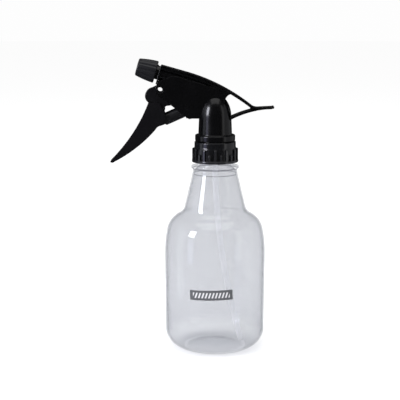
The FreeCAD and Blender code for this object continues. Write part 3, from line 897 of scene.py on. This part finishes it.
# ------------------------------------------------------------------ bottle
@dataclass
class Bottle:
    """Clear blown bottle with its support ring and neck thread."""

    wall: float = 0.9
    foot_inner: float = 17.5
    foot_outer: float = 20.5
    push_up: float = 2.4
    body_low: float = 34.6
    body_high: float = 35.1
    foot_curve: float = 11.4
    shoulder_start: float = 66.0
    shoulder_top: float = 100.6
    neck_low: float = 21.1
    neck_high: float = 15.4
    cone_top: float = 124.5
    ring_low: float = 127.7
    ring_height: float = 1.6
    ring_radius: float = 16.5
    finish_radius: float = 12.5
    finish_bore: float = 10.8

    def shoulder(self, across: float, upward: float, lean: float, inset: float) -> Point:
        """Point of the shoulder as shares of its width and height, moved inwards square to the wall.

        Args:
            across: share of the shoulder's width.
            upward: share of the shoulder's height.
            lean: how far the wall leans there, in degrees.
            inset: distance inside the outer skin.

        Returns:
            The point.
        """
        angle = math.radians(lean)
        radius = self.body_high + across * (self.neck_low - self.body_high)
        height = self.shoulder_start + upward * (self.shoulder_top - self.shoulder_start)
        return radius - inset * math.cos(angle), height - inset * math.sin(angle)

    def side(self, inset: float) -> Outline:
        """Side of the bottle from the middle of its base to the top of the neck's cone.

        Args:
            inset: distance inside the outer skin.

        Returns:
            The open outline.
        """
        low, high = self.body_low - inset, self.body_high - inset
        outline = Outline(0, self.push_up + inset)
        outline.arc((self.foot_inner / 2, self.push_up * 0.75 + inset), (self.foot_inner, inset))
        outline.soft(1.2).line((self.foot_outer - 0.2 * inset, inset))
        corner = (self.foot_outer + 0.66 * (low - self.foot_outer), inset + 0.27 * (self.foot_curve - inset))
        outline.arc(corner, (low, self.foot_curve)).line((high, self.shoulder_start))
        for middle, end in (((0.046, 0.347, 6), (0.129, 0.558, 18)), ((0.293, 0.702, 38), (0.629, 0.825, 58)),
                            ((0.879, 0.900, 42), (1.0, 1.0, 15))):
            outline.arc(self.shoulder(*middle, inset), self.shoulder(*end, inset))
        outline.line((self.neck_high + 0.7 - inset, self.cone_top - 3.0),
                     (self.neck_high - inset, self.cone_top))
        return outline.soft(1.0)

    def outside(self) -> Mesh:
        """Outer skin from the base up to the lip and in to the bore.

        Returns:
            The mesh.
        """
        ring_top = self.ring_low + self.ring_height
        outline = self.side(0)
        outline.line((self.neck_high, self.ring_low, 0.3), (self.ring_radius, self.ring_low, 0.4),
                     (self.ring_radius, ring_top, 0.4), (self.finish_radius, ring_top, 0.4),
                     (self.finish_radius, LIP, 0.3))
        return outline.line((self.finish_bore, LIP)).open()

    def inside(self) -> Mesh:
        """Inner skin from the base up to the bore's top.

        Returns:
            The mesh.
        """
        outline = self.side(self.wall)
        outline.line((self.neck_high - self.wall, self.ring_low - 1.5, 0.6),
                     (self.finish_bore, self.ring_low + self.ring_height, 0.8))
        return outline.line((self.finish_bore, LIP)).open()

    def build(self, finishes: Finishes) -> None:
        """Makes the bottle's shell and dresses the label.

        Args:
            finishes: the mister's materials.
        """
        profile = joined((self.outside(), self.inside()))
        bmesh.ops.remove_doubles(profile, verts=profile.verts, dist=1e-3)
        shell = turned(profile, 160)
        thread = screw_ridge(self.finish_radius, self.finish_radius + NECK_THREAD_DEPTH, root_width=2.0,
                             crest_width=1.0, pitch=NECK_PITCH, turns=1.5, start=LIP - NECK_THREAD_DROP)
        finished("bottle_shell", joined((shell, thread)), finishes.bottle, "bottle", 0.0,
                 ("bottle",), sharp=60.0, weighted=False)
        low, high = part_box("label_panel")
        panel = PrintedPanel("label_grey_print", (0.085, 0.088, 0.096), (0.72, 0.72, 0.74),
                             ((low.x + high.x) / 2, 0.0, (low.z + high.z) / 2), 0.0125, 0.00185, 1.8)
        dress(("label_panel",), panel.make())


def dress(nodes: Iterable[str], material: bpy.types.Material) -> None:
    """Gives CAD nodes a finish.

    Args:
        nodes: their names.
        material: the finish.
    """
    for name in nodes:
        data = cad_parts[name].data
        data.materials.clear()
        data.materials.append(material)
        log.info("%s: dressed in %s", name, material.name)


# ------------------------------------------------------------------ collar
@dataclass
class Collar:
    """Screw collar with alternating tall and short ribs."""

    low: float = -10.6
    rim_radius: float = 16.1
    rim_height: float = 1.8
    root_radius: float = 14.75
    rib_radius: float = 15.9
    rib_width: float = 1.5
    rib_count: int = 24
    tall_top: float = -0.9
    short_top: float = -4.4
    band_radius: float = 14.35
    top: float = 3.7
    bore: float = 13.95
    lip_hole: float = 11.5
    lip_thickness: float = 1.1
    recess: float = 12.8
    thread_root: float = 1.6
    thread_crest: float = 0.8
    thread_turns: float = 1.2

    def shell(self) -> Mesh:
        """The turned body of the collar.

        Returns:
            The mesh.
        """
        rim_top = self.low + self.rim_height
        outline = Outline(self.bore, self.low).line((self.rim_radius, self.low, 0.45),
                                                    (self.rim_radius, rim_top, 0.5),
                                                    (self.root_radius, rim_top + 0.4),
                                                    (self.root_radius, self.tall_top, 0.35),
                                                    (self.band_radius, self.tall_top + 0.7, 0.3),
                                                    (self.band_radius, self.top, 0.7),
                                                    (self.lip_hole, self.top, 0.2))
        lip_low = self.top - self.lip_thickness
        outline.line((self.lip_hole, lip_low), (self.recess, lip_low), (self.recess, self.tall_top + 0.3),
                     (self.bore, self.tall_top - 0.4))
        return turned(outline.closed(), 144)

    def rib(self, index: int) -> Mesh:
        """One rib, rounded along its outer edges and over its top.

        Args:
            index: the rib's number.

        Returns:
            The mesh.
        """
        top = self.tall_top if index % 2 == 0 else self.short_top
        rim_top = self.low + self.rim_height
        half = self.rib_width / 2
        rib = block((self.root_radius - 0.5, -half, rim_top - 0.3), (self.rib_radius, half, top))
        softened(rib, 0.85, 4, where=lambda e: min(v.co.x for v in e.verts) > self.root_radius
                 and min(v.co.z for v in e.verts) > top - 0.01)
        softened(rib, 0.4, 3, where=lambda e: min(v.co.x for v in e.verts) > self.root_radius)
        return placed(rib, Matrix.Rotation(math.tau * index / self.rib_count, 4, "Z"))

    def thread(self) -> Mesh:
        """Ridge inside the collar.

        Returns:
            The mesh.
        """
        sunk, crest = self.bore + SUNK, self.bore - NECK_THREAD_DEPTH
        profile = Outline(sunk, -self.thread_root / 2).line((crest, -self.thread_crest / 2),
                                                            (crest, self.thread_crest / 2),
                                                            (sunk, self.thread_root / 2)).closed()
        bmesh.ops.translate(profile, verts=profile.verts, vec=(0, 0, NECK_PITCH / 2 - NECK_THREAD_DROP))
        return swept(profile, NECK_PITCH, self.thread_turns, FINE_STEPS)

    def build(self, finishes: Finishes) -> None:
        """Makes the collar."""
        parts = [self.shell(), self.thread()] + [self.rib(i) for i in range(self.rib_count)]
        finished("screw_collar", joined(parts), finishes.collar, "collar",
                 stands_for=("collar",))


# ------------------------------------------------------------------ pump housing
@dataclass
class Axis:
    """Leaning line in the middle plane: where it starts, and its degrees from the vertical."""

    start: Point
    lean: float

    def on(self, mesh: Mesh) -> Mesh:
        """Stands a mesh on the line, with its Z axis along it."""
        lean = Matrix.Rotation(math.radians(self.lean), 4, "Y")
        return placed(mesh, Matrix.Translation((self.start[0], 0, self.start[1])) @ lean)

    def point(self, distance: float) -> Point:
        """Point at a distance along the line."""
        return axis_point(self.start, self.lean, distance)


@dataclass
class Barrel(Axis):
    """Discharge barrel: its line starts on the front plate and points along the spray."""

    start: Point = (-38.8, 50.7)
    lean: float = -74.0
    radius: float = 4.9
    length: float = 34.0


@dataclass
class Cylinder(Axis):
    """Pump cylinder: its line starts at the mouth and points inwards."""

    start: Point = (-22.0, 24.5)
    lean: float = 66.0
    bore: float = 4.5
    radius: float = 5.7
    depth: float = 18.0


@dataclass
class Housing:
    """The pump's moulding: tower, cheeks, rail with tail, barrel, neck and cylinder."""

    barrel: Barrel = field(default_factory=Barrel)
    cylinder: Cylinder = field(default_factory=Cylinder)
    pivot: Point = (-37.9, 39.5)
    pivot_hole: float = 2.45
    width: float = 12.0
    cheek: float = 1.3
    web: float = 1.6
    edge: float = 0.28
    spigot_radius: float = 11.2
    spigot_low: float = 2.4
    bore: float = 9.8
    bore_top: float = 16.4
    skirt_radius: float = 13.9
    skirt_low: float = 4.2
    skirt_top: float = 8.3
    tower_low: float = 11.5
    tower_high: float = 11.2
    tower_straight: float = 20.4
    dome_height: float = 16.0
    rail_front: Point = (-36.6, 56.1)
    rail_bend: Point = (-22.0, 52.0)
    rail_middle: Point = (0.2, 43.9)
    rail_end: Point = (25.4, 28.3)
    rail_thickness: float = 1.8
    lip_depth: float = 3.0
    lip_thickness: float = 1.0
    tail_start: Point = (29.5, 27.3)
    tail_tip: Point = (39.6, 27.8)
    tail_width: float = 9.0
    tail_thickness: float = 1.7
    plate_low: float = 43.4
    plate_thickness: float = 1.1
    neck_radius: float = 4.8
    neck_bore: float = 2.6
    neck_step: float = 9.0
    neck_crest: float = 5.5
    nose_radius: float = 3.8
    nose_end: float = 12.4

    def tower(self) -> Mesh:
        """Bullet-shaped tower with the skirt over the collar, bored from below for the inlet parts.

        Returns:
            The mesh.
        """
        outline = Outline(0, self.bore_top).line((self.bore, self.bore_top), (self.bore, self.spigot_low),
                                                 (self.spigot_radius, self.spigot_low),
                                                 (self.spigot_radius, self.skirt_low),
                                                 (self.skirt_radius, self.skirt_low, 0.5),
                                                 (self.skirt_radius, self.skirt_top, 0.75),
                                                 (self.tower_low + 0.2, self.skirt_top + 0.1, 0.5),
                                                 (self.tower_high, self.tower_straight))
        radius, knee = self.tower_high, self.tower_straight
        half = radius * math.sqrt(0.5)
        outline.arc((half, knee + half), (0, knee + radius))
        mesh = outline.open()
        dome = [v for v in mesh.verts if v.co.z > knee]
        bmesh.ops.scale(mesh, verts=dome, vec=(1, 1, self.dome_height / radius),
                        space=Matrix.Translation((0, 0, -knee)))
        return turned(mesh, 128)

    def cheek_plate(self, side: int) -> Mesh:
        """One of the two plates that carry the trigger.

        Args:
            side: -1 or 1, for the side that it stands on.

        Returns:
            The mesh.
        """
        px, pz = self.pivot
        mx, mz = self.cylinder.start
        outline = Outline(px - 3.1, pz - 2.4).line((mx + 4.0, mz - 5.1), (mx + 6.0, mz - 4.7), (3.0, 19.8),
                                                   (6.5, 30.6))
        outline.arc((7.2, 33.8), (9.2, 36.0)).line((11.5, 36.9), (4.0, 41.0), (0.2, 40.8), (-21.2, 47.0))
        outline.arc((-25.8, 48.6), (-30.4, 48.7)).line((-39.6, 44.9), (px - 3.4, pz + 0.8, 0.8))
        plate = slab(outline.closed(), self.cheek, side * (self.width - self.cheek) / 2)
        plate = carved(plate, "DIFFERENCE", cross_rod(self.pivot_hole, self.pivot, self.width + 4))
        return softened(plate, self.edge, 3)

    def plan(self) -> Mesh:
        """Upright prism with the rail's plan: full width in front, narrowing to a rounded tail.

        Returns:
            The mesh.
        """
        half, narrow = self.width / 2, self.tail_width / 2
        far = self.tail_tip[0] + 1.0
        outline = Outline(-45.0, -half).line((7.0, -half), (24.0, -narrow), (far - 3.0, -narrow))
        outline.arc((far, 0.0), (far - 3.0, narrow)).line((24.0, narrow), (7.0, half), (-45.0, half))
        prism = slab(outline.closed(), 80.0, 40.0)
        return placed(prism, Matrix.Rotation(math.pi / 2, 4, "X"))

    def rail(self) -> Mesh:
        """Top rail that runs on as the tail.

        Returns:
            The mesh.
        """
        drop = (-0.45 * self.rail_thickness, -0.9 * self.rail_thickness)
        strip = slab(band(drop, self.rail_front, self.rail_bend, (self.rail_middle, self.rail_end),
                               ((27.2, 27.5), self.tail_start), self.tail_tip), self.width + 1)
        return softened(carved(strip, "INTERSECT", self.plan()), 0.3, 3)

    def rail_lip(self, side: int) -> Mesh:
        """Lip along one side of the rail.

        Args:
            side: -1 or 1, for the side that it stands on.

        Returns:
            The mesh.
        """
        strip = slab(band((0.0, -self.lip_depth), self.rail_front, self.rail_bend,
                               ((-10.5, 48.35), (2.2, 42.95))),
                     self.lip_thickness, side * (self.width - self.lip_thickness) / 2)
        return softened(strip, 0.25, 2)

    def strut(self) -> Mesh:
        """Lower strut of the tail.

        Returns:
            The mesh.
        """
        drop = (0.35 * self.tail_thickness, -0.95 * self.tail_thickness)
        strip = slab(band(drop, (9.5, 20.3), ((17.0, 23.6), (28.0, 26.7))), self.width + 1)
        return softened(carved(strip, "INTERSECT", self.plan()), 0.3, 3)

    def fork(self) -> Mesh:
        """Thick root where rail and strut run together into the tail.

        Returns:
            The mesh.
        """
        outline = Outline(23.5, 28.7).line((29.5, 26.6), (39.0, 27.1), (39.0, 26.15), (34.0, 26.0, 2.0),
                                           (28.6, 25.15, 1.5), (23.9, 25.0), (24.2, 26.0, 0.5))
        wedge = slab(outline.line((24.2, 27.6, 0.5)).closed(), self.tail_width)
        return softened(wedge, 0.3, 3)

    def bead(self) -> Mesh:
        """Rounded bead across the tail's end.

        Returns:
            The mesh.
        """
        length = self.tail_width - 2.6
        outline = Outline(0, -length / 2).line((1.0, -length / 2, 0.6), (1.0, length / 2, 0.6))
        bead = turned(outline.line((0, length / 2)).open(), 32)
        x, z = self.tail_tip
        return placed(bead, Matrix.Translation((x, 0, z - 0.6)) @ Matrix.Rotation(math.pi / 2, 4, "X"))

    def middle_web(self) -> Mesh:
        """Rib in the middle plane under the rail.

        Returns:
            The mesh.
        """
        (fx, fz), (bx, bz), (mx, mz) = self.rail_front, self.rail_bend, self.rail_middle
        outline = Outline(fx + 0.5, fz - 1).line((bx, bz - 1), (mx, mz - 1), (9.0, 37.6), (6.0, 31.4),
                                                 (-18.0, 27.9), (-20.0, 44.4), (-38.0, 50.4))
        return slab(outline.closed(), self.web)

    def front_plate(self) -> Mesh:
        """Thin plate square to the barrel.

        Returns:
            The mesh.
        """
        tilt = math.radians(self.barrel.lean + 90.0)
        slope = math.tan(tilt)
        x, z = self.barrel.start
        top, low = self.rail_front[1], self.plate_low
        back = self.plate_thickness / math.cos(tilt)
        upper, lower = x + (top - z) * slope, x + (low - z) * slope
        outline = Outline(lower, low).line((upper, top), (upper + back, top), (lower + back, low))
        return softened(slab(outline.closed(), self.width), 0.3, 3)

    def barrel_tube(self) -> Mesh:
        """Barrel under the rail, and the plug of its blind end.

        Returns:
            The mesh.
        """
        radius, back = self.barrel.radius, -self.barrel.length
        outline = Outline(0, back).line((radius, back, 0.5), (radius, 0.0), (0, 0.0))
        return self.barrel.on(turned(outline.open(), 64))

    def neck(self) -> list[Mesh]:
        """Threaded neck that the nozzle screws on.

        Returns:
            The meshes.
        """
        outline = Outline(self.neck_bore, -0.5)
        outline.line((self.neck_radius, -0.5), (self.neck_radius, self.neck_step, 0.4),
                     (self.nose_radius, self.neck_step), (self.nose_radius, self.nose_end, 0.3))
        core = turned(outline.line((self.neck_bore, self.nose_end)).closed(), 64)
        thread = screw_ridge(self.neck_radius, self.neck_crest, root_width=1.0, crest_width=0.4, pitch=2.0,
                             turns=3.3, start=1.4)
        return [self.barrel.on(core), self.barrel.on(thread)]

    def piston_room(self) -> Mesh:
        """Space that the piston needs, as a solid to cut away.

        Returns:
            The mesh.
        """
        radius = (self.cylinder.bore + self.cylinder.radius) / 2
        outline = Outline(0, -3.0).line((radius, -3.0), (radius, self.cylinder.depth + 0.5))
        return self.cylinder.on(turned(outline.line((0, self.cylinder.depth + 0.5)).open(), 64))

    def cylinder_tube(self) -> Mesh:
        """Pump cylinder, open at its mouth and shut at its end.

        Returns:
            The mesh.
        """
        bore, radius, depth = self.cylinder.bore, self.cylinder.radius, self.cylinder.depth
        outline = Outline(0, depth + 1.5).line((radius, depth + 1.5), (radius, 0, 0.35), (bore, 0, 0.25),
                                               (bore, depth), (0, depth))
        return self.cylinder.on(turned(outline.open(), 64))

    def build(self, finishes: Finishes) -> None:
        """Makes every part of the housing.

        Args:
            finishes: the mister's materials.
        """
        parts: dict[str, Mesh] = {
            "pump_tower": carved(self.tower(), "DIFFERENCE", self.piston_room()),
            "cheeks": joined(self.cheek_plate(side) for side in (-1, 1)),
            "top_rail_and_tail": joined([self.rail(), self.strut(), self.fork(), self.bead()]
                                        + [self.rail_lip(side) for side in (-1, 1)]),
            "middle_web": carved(self.middle_web(), "DIFFERENCE", self.piston_room()),
            "front_plate": self.front_plate(),
            "barrel": self.barrel_tube(),
            "nozzle_neck": joined(self.neck()),
            "pump_cylinder": self.cylinder_tube(),
        }
        for name, mesh in parts.items():
            finished(name, mesh, finishes.housing, "head",
                     stands_for=("pump_housing",) if name == "pump_tower" else ())


# ------------------------------------------------------------------ piston and trigger
@dataclass
class Piston:
    """Plunger with a domed nose and a grooved head."""

    cylinder: Cylinder = field(default_factory=Cylinder)
    radius: float = 4.2
    bore: float = 3.1
    reach: float = 16.0
    nose_radius: float = 6.0
    head_low: float = 0.6
    head_high: float = 5.0
    head_radius: float = 4.4
    groove_radius: float = 3.7
    groove_width: float = 1.0
    groove_inset: float = 0.7
    nose_wall: float = 1.6
    nose_arc: float = 22.0

    def build(self, finishes: Finishes) -> None:
        """Makes the piston.

        Args:
            finishes: the mister's materials.
        """
        centre = self.nose_radius - self.reach
        shoulder = centre - math.sqrt(self.nose_radius ** 2 - self.radius ** 2)
        angle = math.radians(self.nose_arc)
        through = (self.nose_radius * math.sin(angle), centre - self.nose_radius * math.cos(angle))
        outline = Outline(0, -self.reach).arc(through, (self.radius, shoulder))
        outline.soft(0.3).line((self.radius, self.head_low, 0.2), (self.head_radius, self.head_low, 0.15))
        for groove in (self.head_low + self.groove_inset,
                       self.head_high - self.groove_inset - self.groove_width):
            outline.line((self.head_radius, groove), (self.groove_radius, groove),
                         (self.groove_radius, groove + self.groove_width),
                         (self.head_radius, groove + self.groove_width))
        outline.line((self.head_radius, self.head_high, 0.15), (self.bore, self.head_high),
                     (self.bore, self.nose_wall - self.reach), (0, self.nose_wall - self.reach))
        finished("piston_plunger", self.cylinder.on(turned(outline.open(), 72)), finishes.piston, "piston",
                 stands_for=("piston",))


@dataclass
class Trigger:
    """Finger lever with its neck, pivot and the wall that pushes the piston."""

    pivot: Point = (-37.9, 39.5)
    notch: Point = (-45.9, 30.7)
    front: Point = (-55.7, 11.2)
    tip: Point = (-72.6, -10.0)
    width: float = 13.0
    wall: float = 1.5
    neck_width: float = 8.8
    hole: float = 1.75
    boss: float = 3.4
    stub: float = 2.4
    stub_length: float = 11.8
    edge: float = 0.45
    pusher_lean: float = 79.0
    pusher_gap: float = 0.05
    pusher_wall: float = 2.2
    piston: Piston = field(default_factory=Piston)

    def blade(self) -> Mesh:
        """Channel that the fingers pull, open at its back.

        Returns:
            The mesh.
        """
        (nx, nz), (fx, fz), (tx, tz) = self.notch, self.front, self.tip
        outline = Outline(nx, nz).arc((fx, fz), (tx, tz)).arc((tx + 1.2, tz - 0.6), (tx + 3.0, tz))
        outline.arc((-53.2, 0.6), (-41.5, 11.7)).line((-39.9, 13.8)).arc((-38.9, 14.5), (-37.6, 14.9))
        outline.line((-34.6, 16.0), (-34.6, 23.0), (-38.3, 30.7))
        pocket = Outline(nx + 1.7, nz - 1.8).arc((fx + 1.4, fz - 0.9), (tx + 6.2, tz + 5.2))
        pocket.line((-60.0, -12.6), (-30.0, 2.4), (-30.0, 28.9))
        channel = carved(slab(outline.closed(), self.width), "DIFFERENCE",
                         slab(pocket.closed(), self.width - 2 * self.wall))
        return softened(channel, self.edge, 3)

    def neck(self) -> Mesh:
        """Upper part that swings between the cheeks, bored for the pivot.

        Returns:
            The mesh.
        """
        (nx, nz), (px, pz) = self.notch, self.pivot
        outline = Outline(nx + 0.6, nz - 6.5).line((nx, nz)).arc((-48.2, 35.0), (-43.6, 40.6))
        outline.line((px - 1.6, pz + 3.0), (px + 2.4, pz + 2.4, 1.5), (-30.4, 32.0), (-30.4, 28.7),
                     (-33.0, 28.4)).arc((-34.2, 27.9), (-34.6, 26.8)).line((-34.6, 25.0))
        neck = carved(slab(outline.closed(), self.neck_width), "DIFFERENCE",
                      cross_rod(self.hole, self.pivot, self.neck_width + 4))
        return softened(neck, self.edge, 3)

    def pusher(self) -> list[Mesh]:
        """Cross wall that meets the piston's nose, and the rib behind it.

        Returns:
            The meshes.
        """
        lean, nose_radius = self.pusher_lean, self.piston.nose_radius
        centre = self.piston.cylinder.point(nose_radius - self.piston.reach)
        contact = axis_point(centre, lean, -(nose_radius + self.pusher_gap))
        top, low = (axis_point(contact, lean - 90.0, reach) for reach in (4.6, -3.8))
        behind = [axis_point(end, lean, -self.pusher_wall) for end in (top, low)]
        wall = Outline(*low).line(top, *behind)
        root = [axis_point(end, lean, -1.0) for end in (low, top)]
        rib = Outline(*root[0]).line(root[1], (-48.0, 23.9), (-51.0, 17.4))
        return [softened(slab(wall.closed(), self.width - 1), 0.3, 2), slab(rib.closed(), 1.6)]

    def build(self, finishes: Finishes) -> None:
        """Makes the trigger.

        Args:
            finishes: the mister's materials.
        """
        parts = [self.blade(), self.neck(), *self.pusher(),
                 cross_ring(self.boss, self.hole, self.pivot, self.neck_width + 0.1, 0.2),
                 cross_ring(self.stub, self.hole, self.pivot, self.stub_length, 0.3)]
        finished("trigger_lever", joined(parts), finishes.trigger, "trigger",
                 stands_for=("trigger",))


# ------------------------------------------------------------------ springs and tube
@dataclass(frozen=True)
class Spring:
    """Coil spring between two heights of its line."""

    name: str
    node: str
    joint: str
    travel: float
    radius: float
    wire: float
    turns: int
    low: float
    high: float

    def build(self, line: Axis, steel: bpy.types.Material) -> None:
        """Makes the spring.

        Args:
            line: what it lies along.
            steel: its finish.
        """
        mesh = line.on(coil(self.radius, self.wire, self.turns, self.low, self.high))
        piece = finished(self.name, mesh, steel, "head", stands_for=(self.node,), weighted=False)
        x, z = line.point(self.high)
        x * MM
        (z + LIP) * MM
        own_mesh(piece)


@dataclass
class Springs:
    """Return spring behind the piston, and the small spring on the outlet ball."""

    barrel: Barrel = field(default_factory=Barrel)
    cylinder: Cylinder = field(default_factory=Cylinder)
    behind_piston: Spring = Spring("return_coil", "return_spring", "piston_stroke", travel=9.4, radius=2.5,
                                   wire=0.35, turns=9, low=-14.4, high=18.0)
    on_ball: Spring = Spring("outlet_coil", "outlet_spring", "outlet_ball_lift", travel=1.0, radius=1.2,
                             wire=0.2, turns=5, low=2.64, high=8.4)

    def build(self, finishes: Finishes) -> None:
        """Makes both springs."""
        self.behind_piston.build(self.cylinder, finishes.steel)
        self.on_ball.build(self.barrel, finishes.steel)


@dataclass
class DipTube:
    """Straight in its socket, then one long gentle bend to the bottle's foot."""

    radius: float = 2.0
    bore: float = 1.4
    top: float = 3.0
    bend_start: float = -6.0
    bend_radius: float = 480.0
    end_clearance: float = 3.4
    sides: int = 32
    bend_steps: int = 28

    def build(self, finishes: Finishes) -> None:
        """Makes the tube.

        Args:
            finishes: the mister's materials.
        """
        mesh = bmesh.new()
        starts = []
        for radius in (self.radius, self.bore):
            made = bmesh.ops.create_circle(mesh, segments=self.sides, radius=radius,
                                           matrix=Matrix.Translation((0, 0, self.top)))["verts"]
            starts.append(list({e for v in made for e in v.link_edges}))
        ends = []
        sweep = math.asin((LIP + self.bend_start - self.end_clearance) / self.bend_radius)
        for edges in starts:
            lower = bmesh.ops.extrude_edge_only(mesh, edges=edges)["geom"]
            bmesh.ops.translate(mesh, verts=verts_of(lower), vec=(0, 0, self.bend_start - self.top))
            last = bmesh.ops.spin(mesh, geom=lower, cent=(self.bend_radius, 0, self.bend_start),
                                  axis=(0, -1, 0), angle=sweep, steps=self.bend_steps)["geom_last"]
            ends.append([e for e in last if isinstance(e, bmesh.types.BMEdge)])
        bmesh.ops.bridge_loops(mesh, edges=starts[0] + starts[1])
        bmesh.ops.bridge_loops(mesh, edges=ends[0] + ends[1])
        finished("dip_tube_bent", tidy(mesh), finishes.tube, "head", stands_for=("dip_tube",),
                 weighted=False)


# ------------------------------------------------------------------ nozzle
@dataclass
class Nozzle:
    """Fluted cap that screws on the neck."""

    barrel: Barrel = field(default_factory=Barrel)
    start: float = 2.0
    length: float = 13.4
    rear: float = 7.7
    belly: float = 7.15
    front: float = 6.0
    chamfer: float = 0.5
    flutes: int = 12
    flute_depth: float = 0.45
    flute_end: float = 1.6
    steps_in_flute: int = 12
    flute_sharpness: float = 4.4
    bore: float = 5.7
    skin: float = 5.9
    pocket: float = 4.1
    spray_hole: float = 0.8

    def build(self, finishes: Finishes) -> None:
        """Makes the cap, then presses the flutes into its side.

        Args:
            finishes: the mister's materials.
        """
        end = self.start + self.length
        outline = Outline(self.bore, self.start).line((self.rear - self.chamfer, self.start, 0.2),
                                                      (self.rear, self.start + self.chamfer))
        outline.arc((self.belly, (self.start + end) / 2), (self.front, end - self.chamfer)).soft(0.3)
        outline.line((self.front - self.chamfer, end, 0.25), (3.2, end, 0.25), (2.9, end - 0.5, 0.2),
                     (self.spray_hole, end - 0.5), (self.spray_hole, end - 0.8), (self.pocket, end - 1.6),
                     (self.pocket, end - 5.0), (self.bore, end - 5.5))
        cap = turned(outline.closed(), self.flutes * self.steps_in_flute)
        pitch = math.tau / self.flutes
        for vert in cap.verts:
            radius = math.hypot(vert.co.x, vert.co.y)
            if radius < self.skin or vert.co.z > end - self.flute_end:
                continue
            away = abs((math.atan2(vert.co.y, vert.co.x) + pitch / 2) % pitch - pitch / 2) / pitch
            depth = self.flute_depth * max(0.0, 1 - (away * self.flute_sharpness) ** 2)
            bmesh.ops.scale(cap, verts=[vert], vec=(1 - depth / radius, 1 - depth / radius, 1))
        finished("nozzle_cap", self.barrel.on(cap), finishes.nozzle, "nozzle",
                 stands_for=("nozzle",), sharp=42.0)


# ------------------------------------------------------------------ inner parts
def dress_inner_parts(finishes: Finishes) -> None:
    """Gives the parts inside the pump their finishes.

    Args:
        finishes: the mister's materials.
    """
    dress(("inlet_body", "ball_cage", "outlet_seat", "swirl_core", "orifice_disc"), finishes.natural)
    dress(("neck_gasket", "riser_seal", "nozzle_seal", "piston_seal", "vent_seal"), finishes.rubber)
    dress(("inlet_ball", "outlet_ball"), finishes.steel)


# ------------------------------------------------------------------ studio
@dataclass
class Softbox:
    """One soft light, placed round the mister by compass and height."""

    name: str
    left_of_camera: float
    elevation: float
    distance: float
    size: Point
    brightness: float
    tint: Colour = (1.0, 1.0, 1.0)

    def build(self, target: Vector) -> None:
        """Makes the light and turns it to the target.

        Args:
            target: where it shines.
        """
        data = bpy.data.lights.new(self.name, "AREA")
        data.shape, data.size, data.size_y = "RECTANGLE", *self.size
        data.energy = self.brightness * math.pi * self.size[0] * self.size[1]
        data.color = self.tint
        light = linked(self.name, data)
        turn, rise = math.radians(self.left_of_camera), math.radians(self.elevation)
        away = Vector((-math.sin(turn) * math.cos(rise), -math.cos(turn) * math.cos(rise), math.sin(rise)))
        light.location = target + away * self.distance
        light.rotation_mode = "QUATERNION"
        light.rotation_quaternion = away.to_track_quat("Z", "Y")
        light.visible_camera = False


@dataclass
class Studio:
    """Pale floor, soft lights, white surroundings and the camera."""

    eye: tuple[float, float, float] = (-0.0105, -0.7576, 0.2424)
    pitch: float = 10.3
    lens: float = 99.0
    sensor: float = 36.0
    backdrop: float = 0.985
    mirrored: float = 0.03
    floor_colour: Colour = (0.975, 0.975, 0.975)
    floor_radius: float = 6.0
    boxes: tuple[Softbox, ...] = (
        Softbox("left_softbox", 58.0, 21.0, 0.95, (0.28, 0.46), 12.0, (0.90, 0.91, 1.0)),
        Softbox("left_strip", 58.0, -6.0, 1.00, (0.26, 0.34), 0.9, (0.60, 0.62, 1.0)),
        Softbox("left_fill", 88.0, 5.0, 1.30, (0.50, 1.30), 0.5, (0.85, 0.90, 1.0)),
        Softbox("right_fill", -98.0, 8.0, 1.10, (1.50, 1.10), 0.22, (0.95, 0.96, 1.0)),
        Softbox("right_strip", -58.0, 14.0, 1.10, (0.30, 1.10), 0.5),
        Softbox("top_softbox", 0.0, 84.0, 1.10, (1.20, 1.20), 0.75),
    )

    def camera(self) -> None:
        """Sets the camera."""
        data = bpy.data.cameras.new("camera")
        data.lens, data.sensor_width = self.lens, self.sensor
        camera = linked("camera", data)
        camera.location = self.eye
        camera.rotation_euler = (math.radians(90.0 - self.pitch), 0, 0)
        bpy.context.scene.camera = camera

    def floor(self) -> None:
        """Lays the floor, which is not mirrored in the glossy plastic."""
        mesh = bmesh.new()
        bmesh.ops.create_circle(mesh, cap_ends=True, segments=96, radius=self.floor_radius)
        bmesh.ops.inset_region(mesh, faces=mesh.faces[:], thickness=self.floor_radius / 2)
        data = stored("floor", mesh)
        material, graph = new_material("floor_paper")
        fibre = graph.noise(900.0, 4.0)
        graph.surface(graph.principled({
            "Base Color": graph.blend(fibre, self.floor_colour, tuple(c * 0.985 for c in self.floor_colour)),
            "Roughness": 0.9, "Specular IOR Level": 0.0, "Normal": graph.bump(fibre, 0.00003, 0.1)}))
        data.materials.append(material)
        floor = linked("floor", data)
        floor.visible_glossy = False

    def surroundings(self) -> None:
        """White to the camera, dim to the plastic."""
        world = bpy.data.worlds.new("studio")
        world.use_nodes = True
        bpy.context.scene.world = world
        graph = Graph(world.node_tree)
        seen = graph.add("ShaderNodeLightPath", output="Is Camera Ray")
        mirrored = graph.add("ShaderNodeLightPath", output="Is Glossy Ray")
        level = seen * self.backdrop + (1 - seen) * (1.0 - mirrored * (1.0 - self.mirrored))
        light = graph.add("ShaderNodeBackground", {}, {"Color": (1.0, 1.0, 1.0), "Strength": level})
        graph.add("ShaderNodeOutputWorld", {}, {"Surface": light})

    def build(self) -> None:
        """Makes the studio."""
        low, high = cad_box
        for box in self.boxes:
            box.build((low + high) / 2)
        self.camera()
        self.floor()
        self.surroundings()
        bpy.context.scene.view_settings.view_transform = "Standard"
        bpy.context.scene.cycles.transparent_max_bounces = 32
        log.info("studio: %d lights", len(self.boxes))


def main() -> None:
    """Builds the studio and every piece of the mister."""
    logging.basicConfig(level=logging.INFO, format="%(message)s")
    Studio().build()
    finishes = Finishes()
    for maker in (Bottle(), Collar(), Housing(), Trigger(), Piston(), Springs(), DipTube(), Nozzle()):
        maker.build(finishes)
    dress_inner_parts(finishes)


if __name__ == "__main__":
    main()
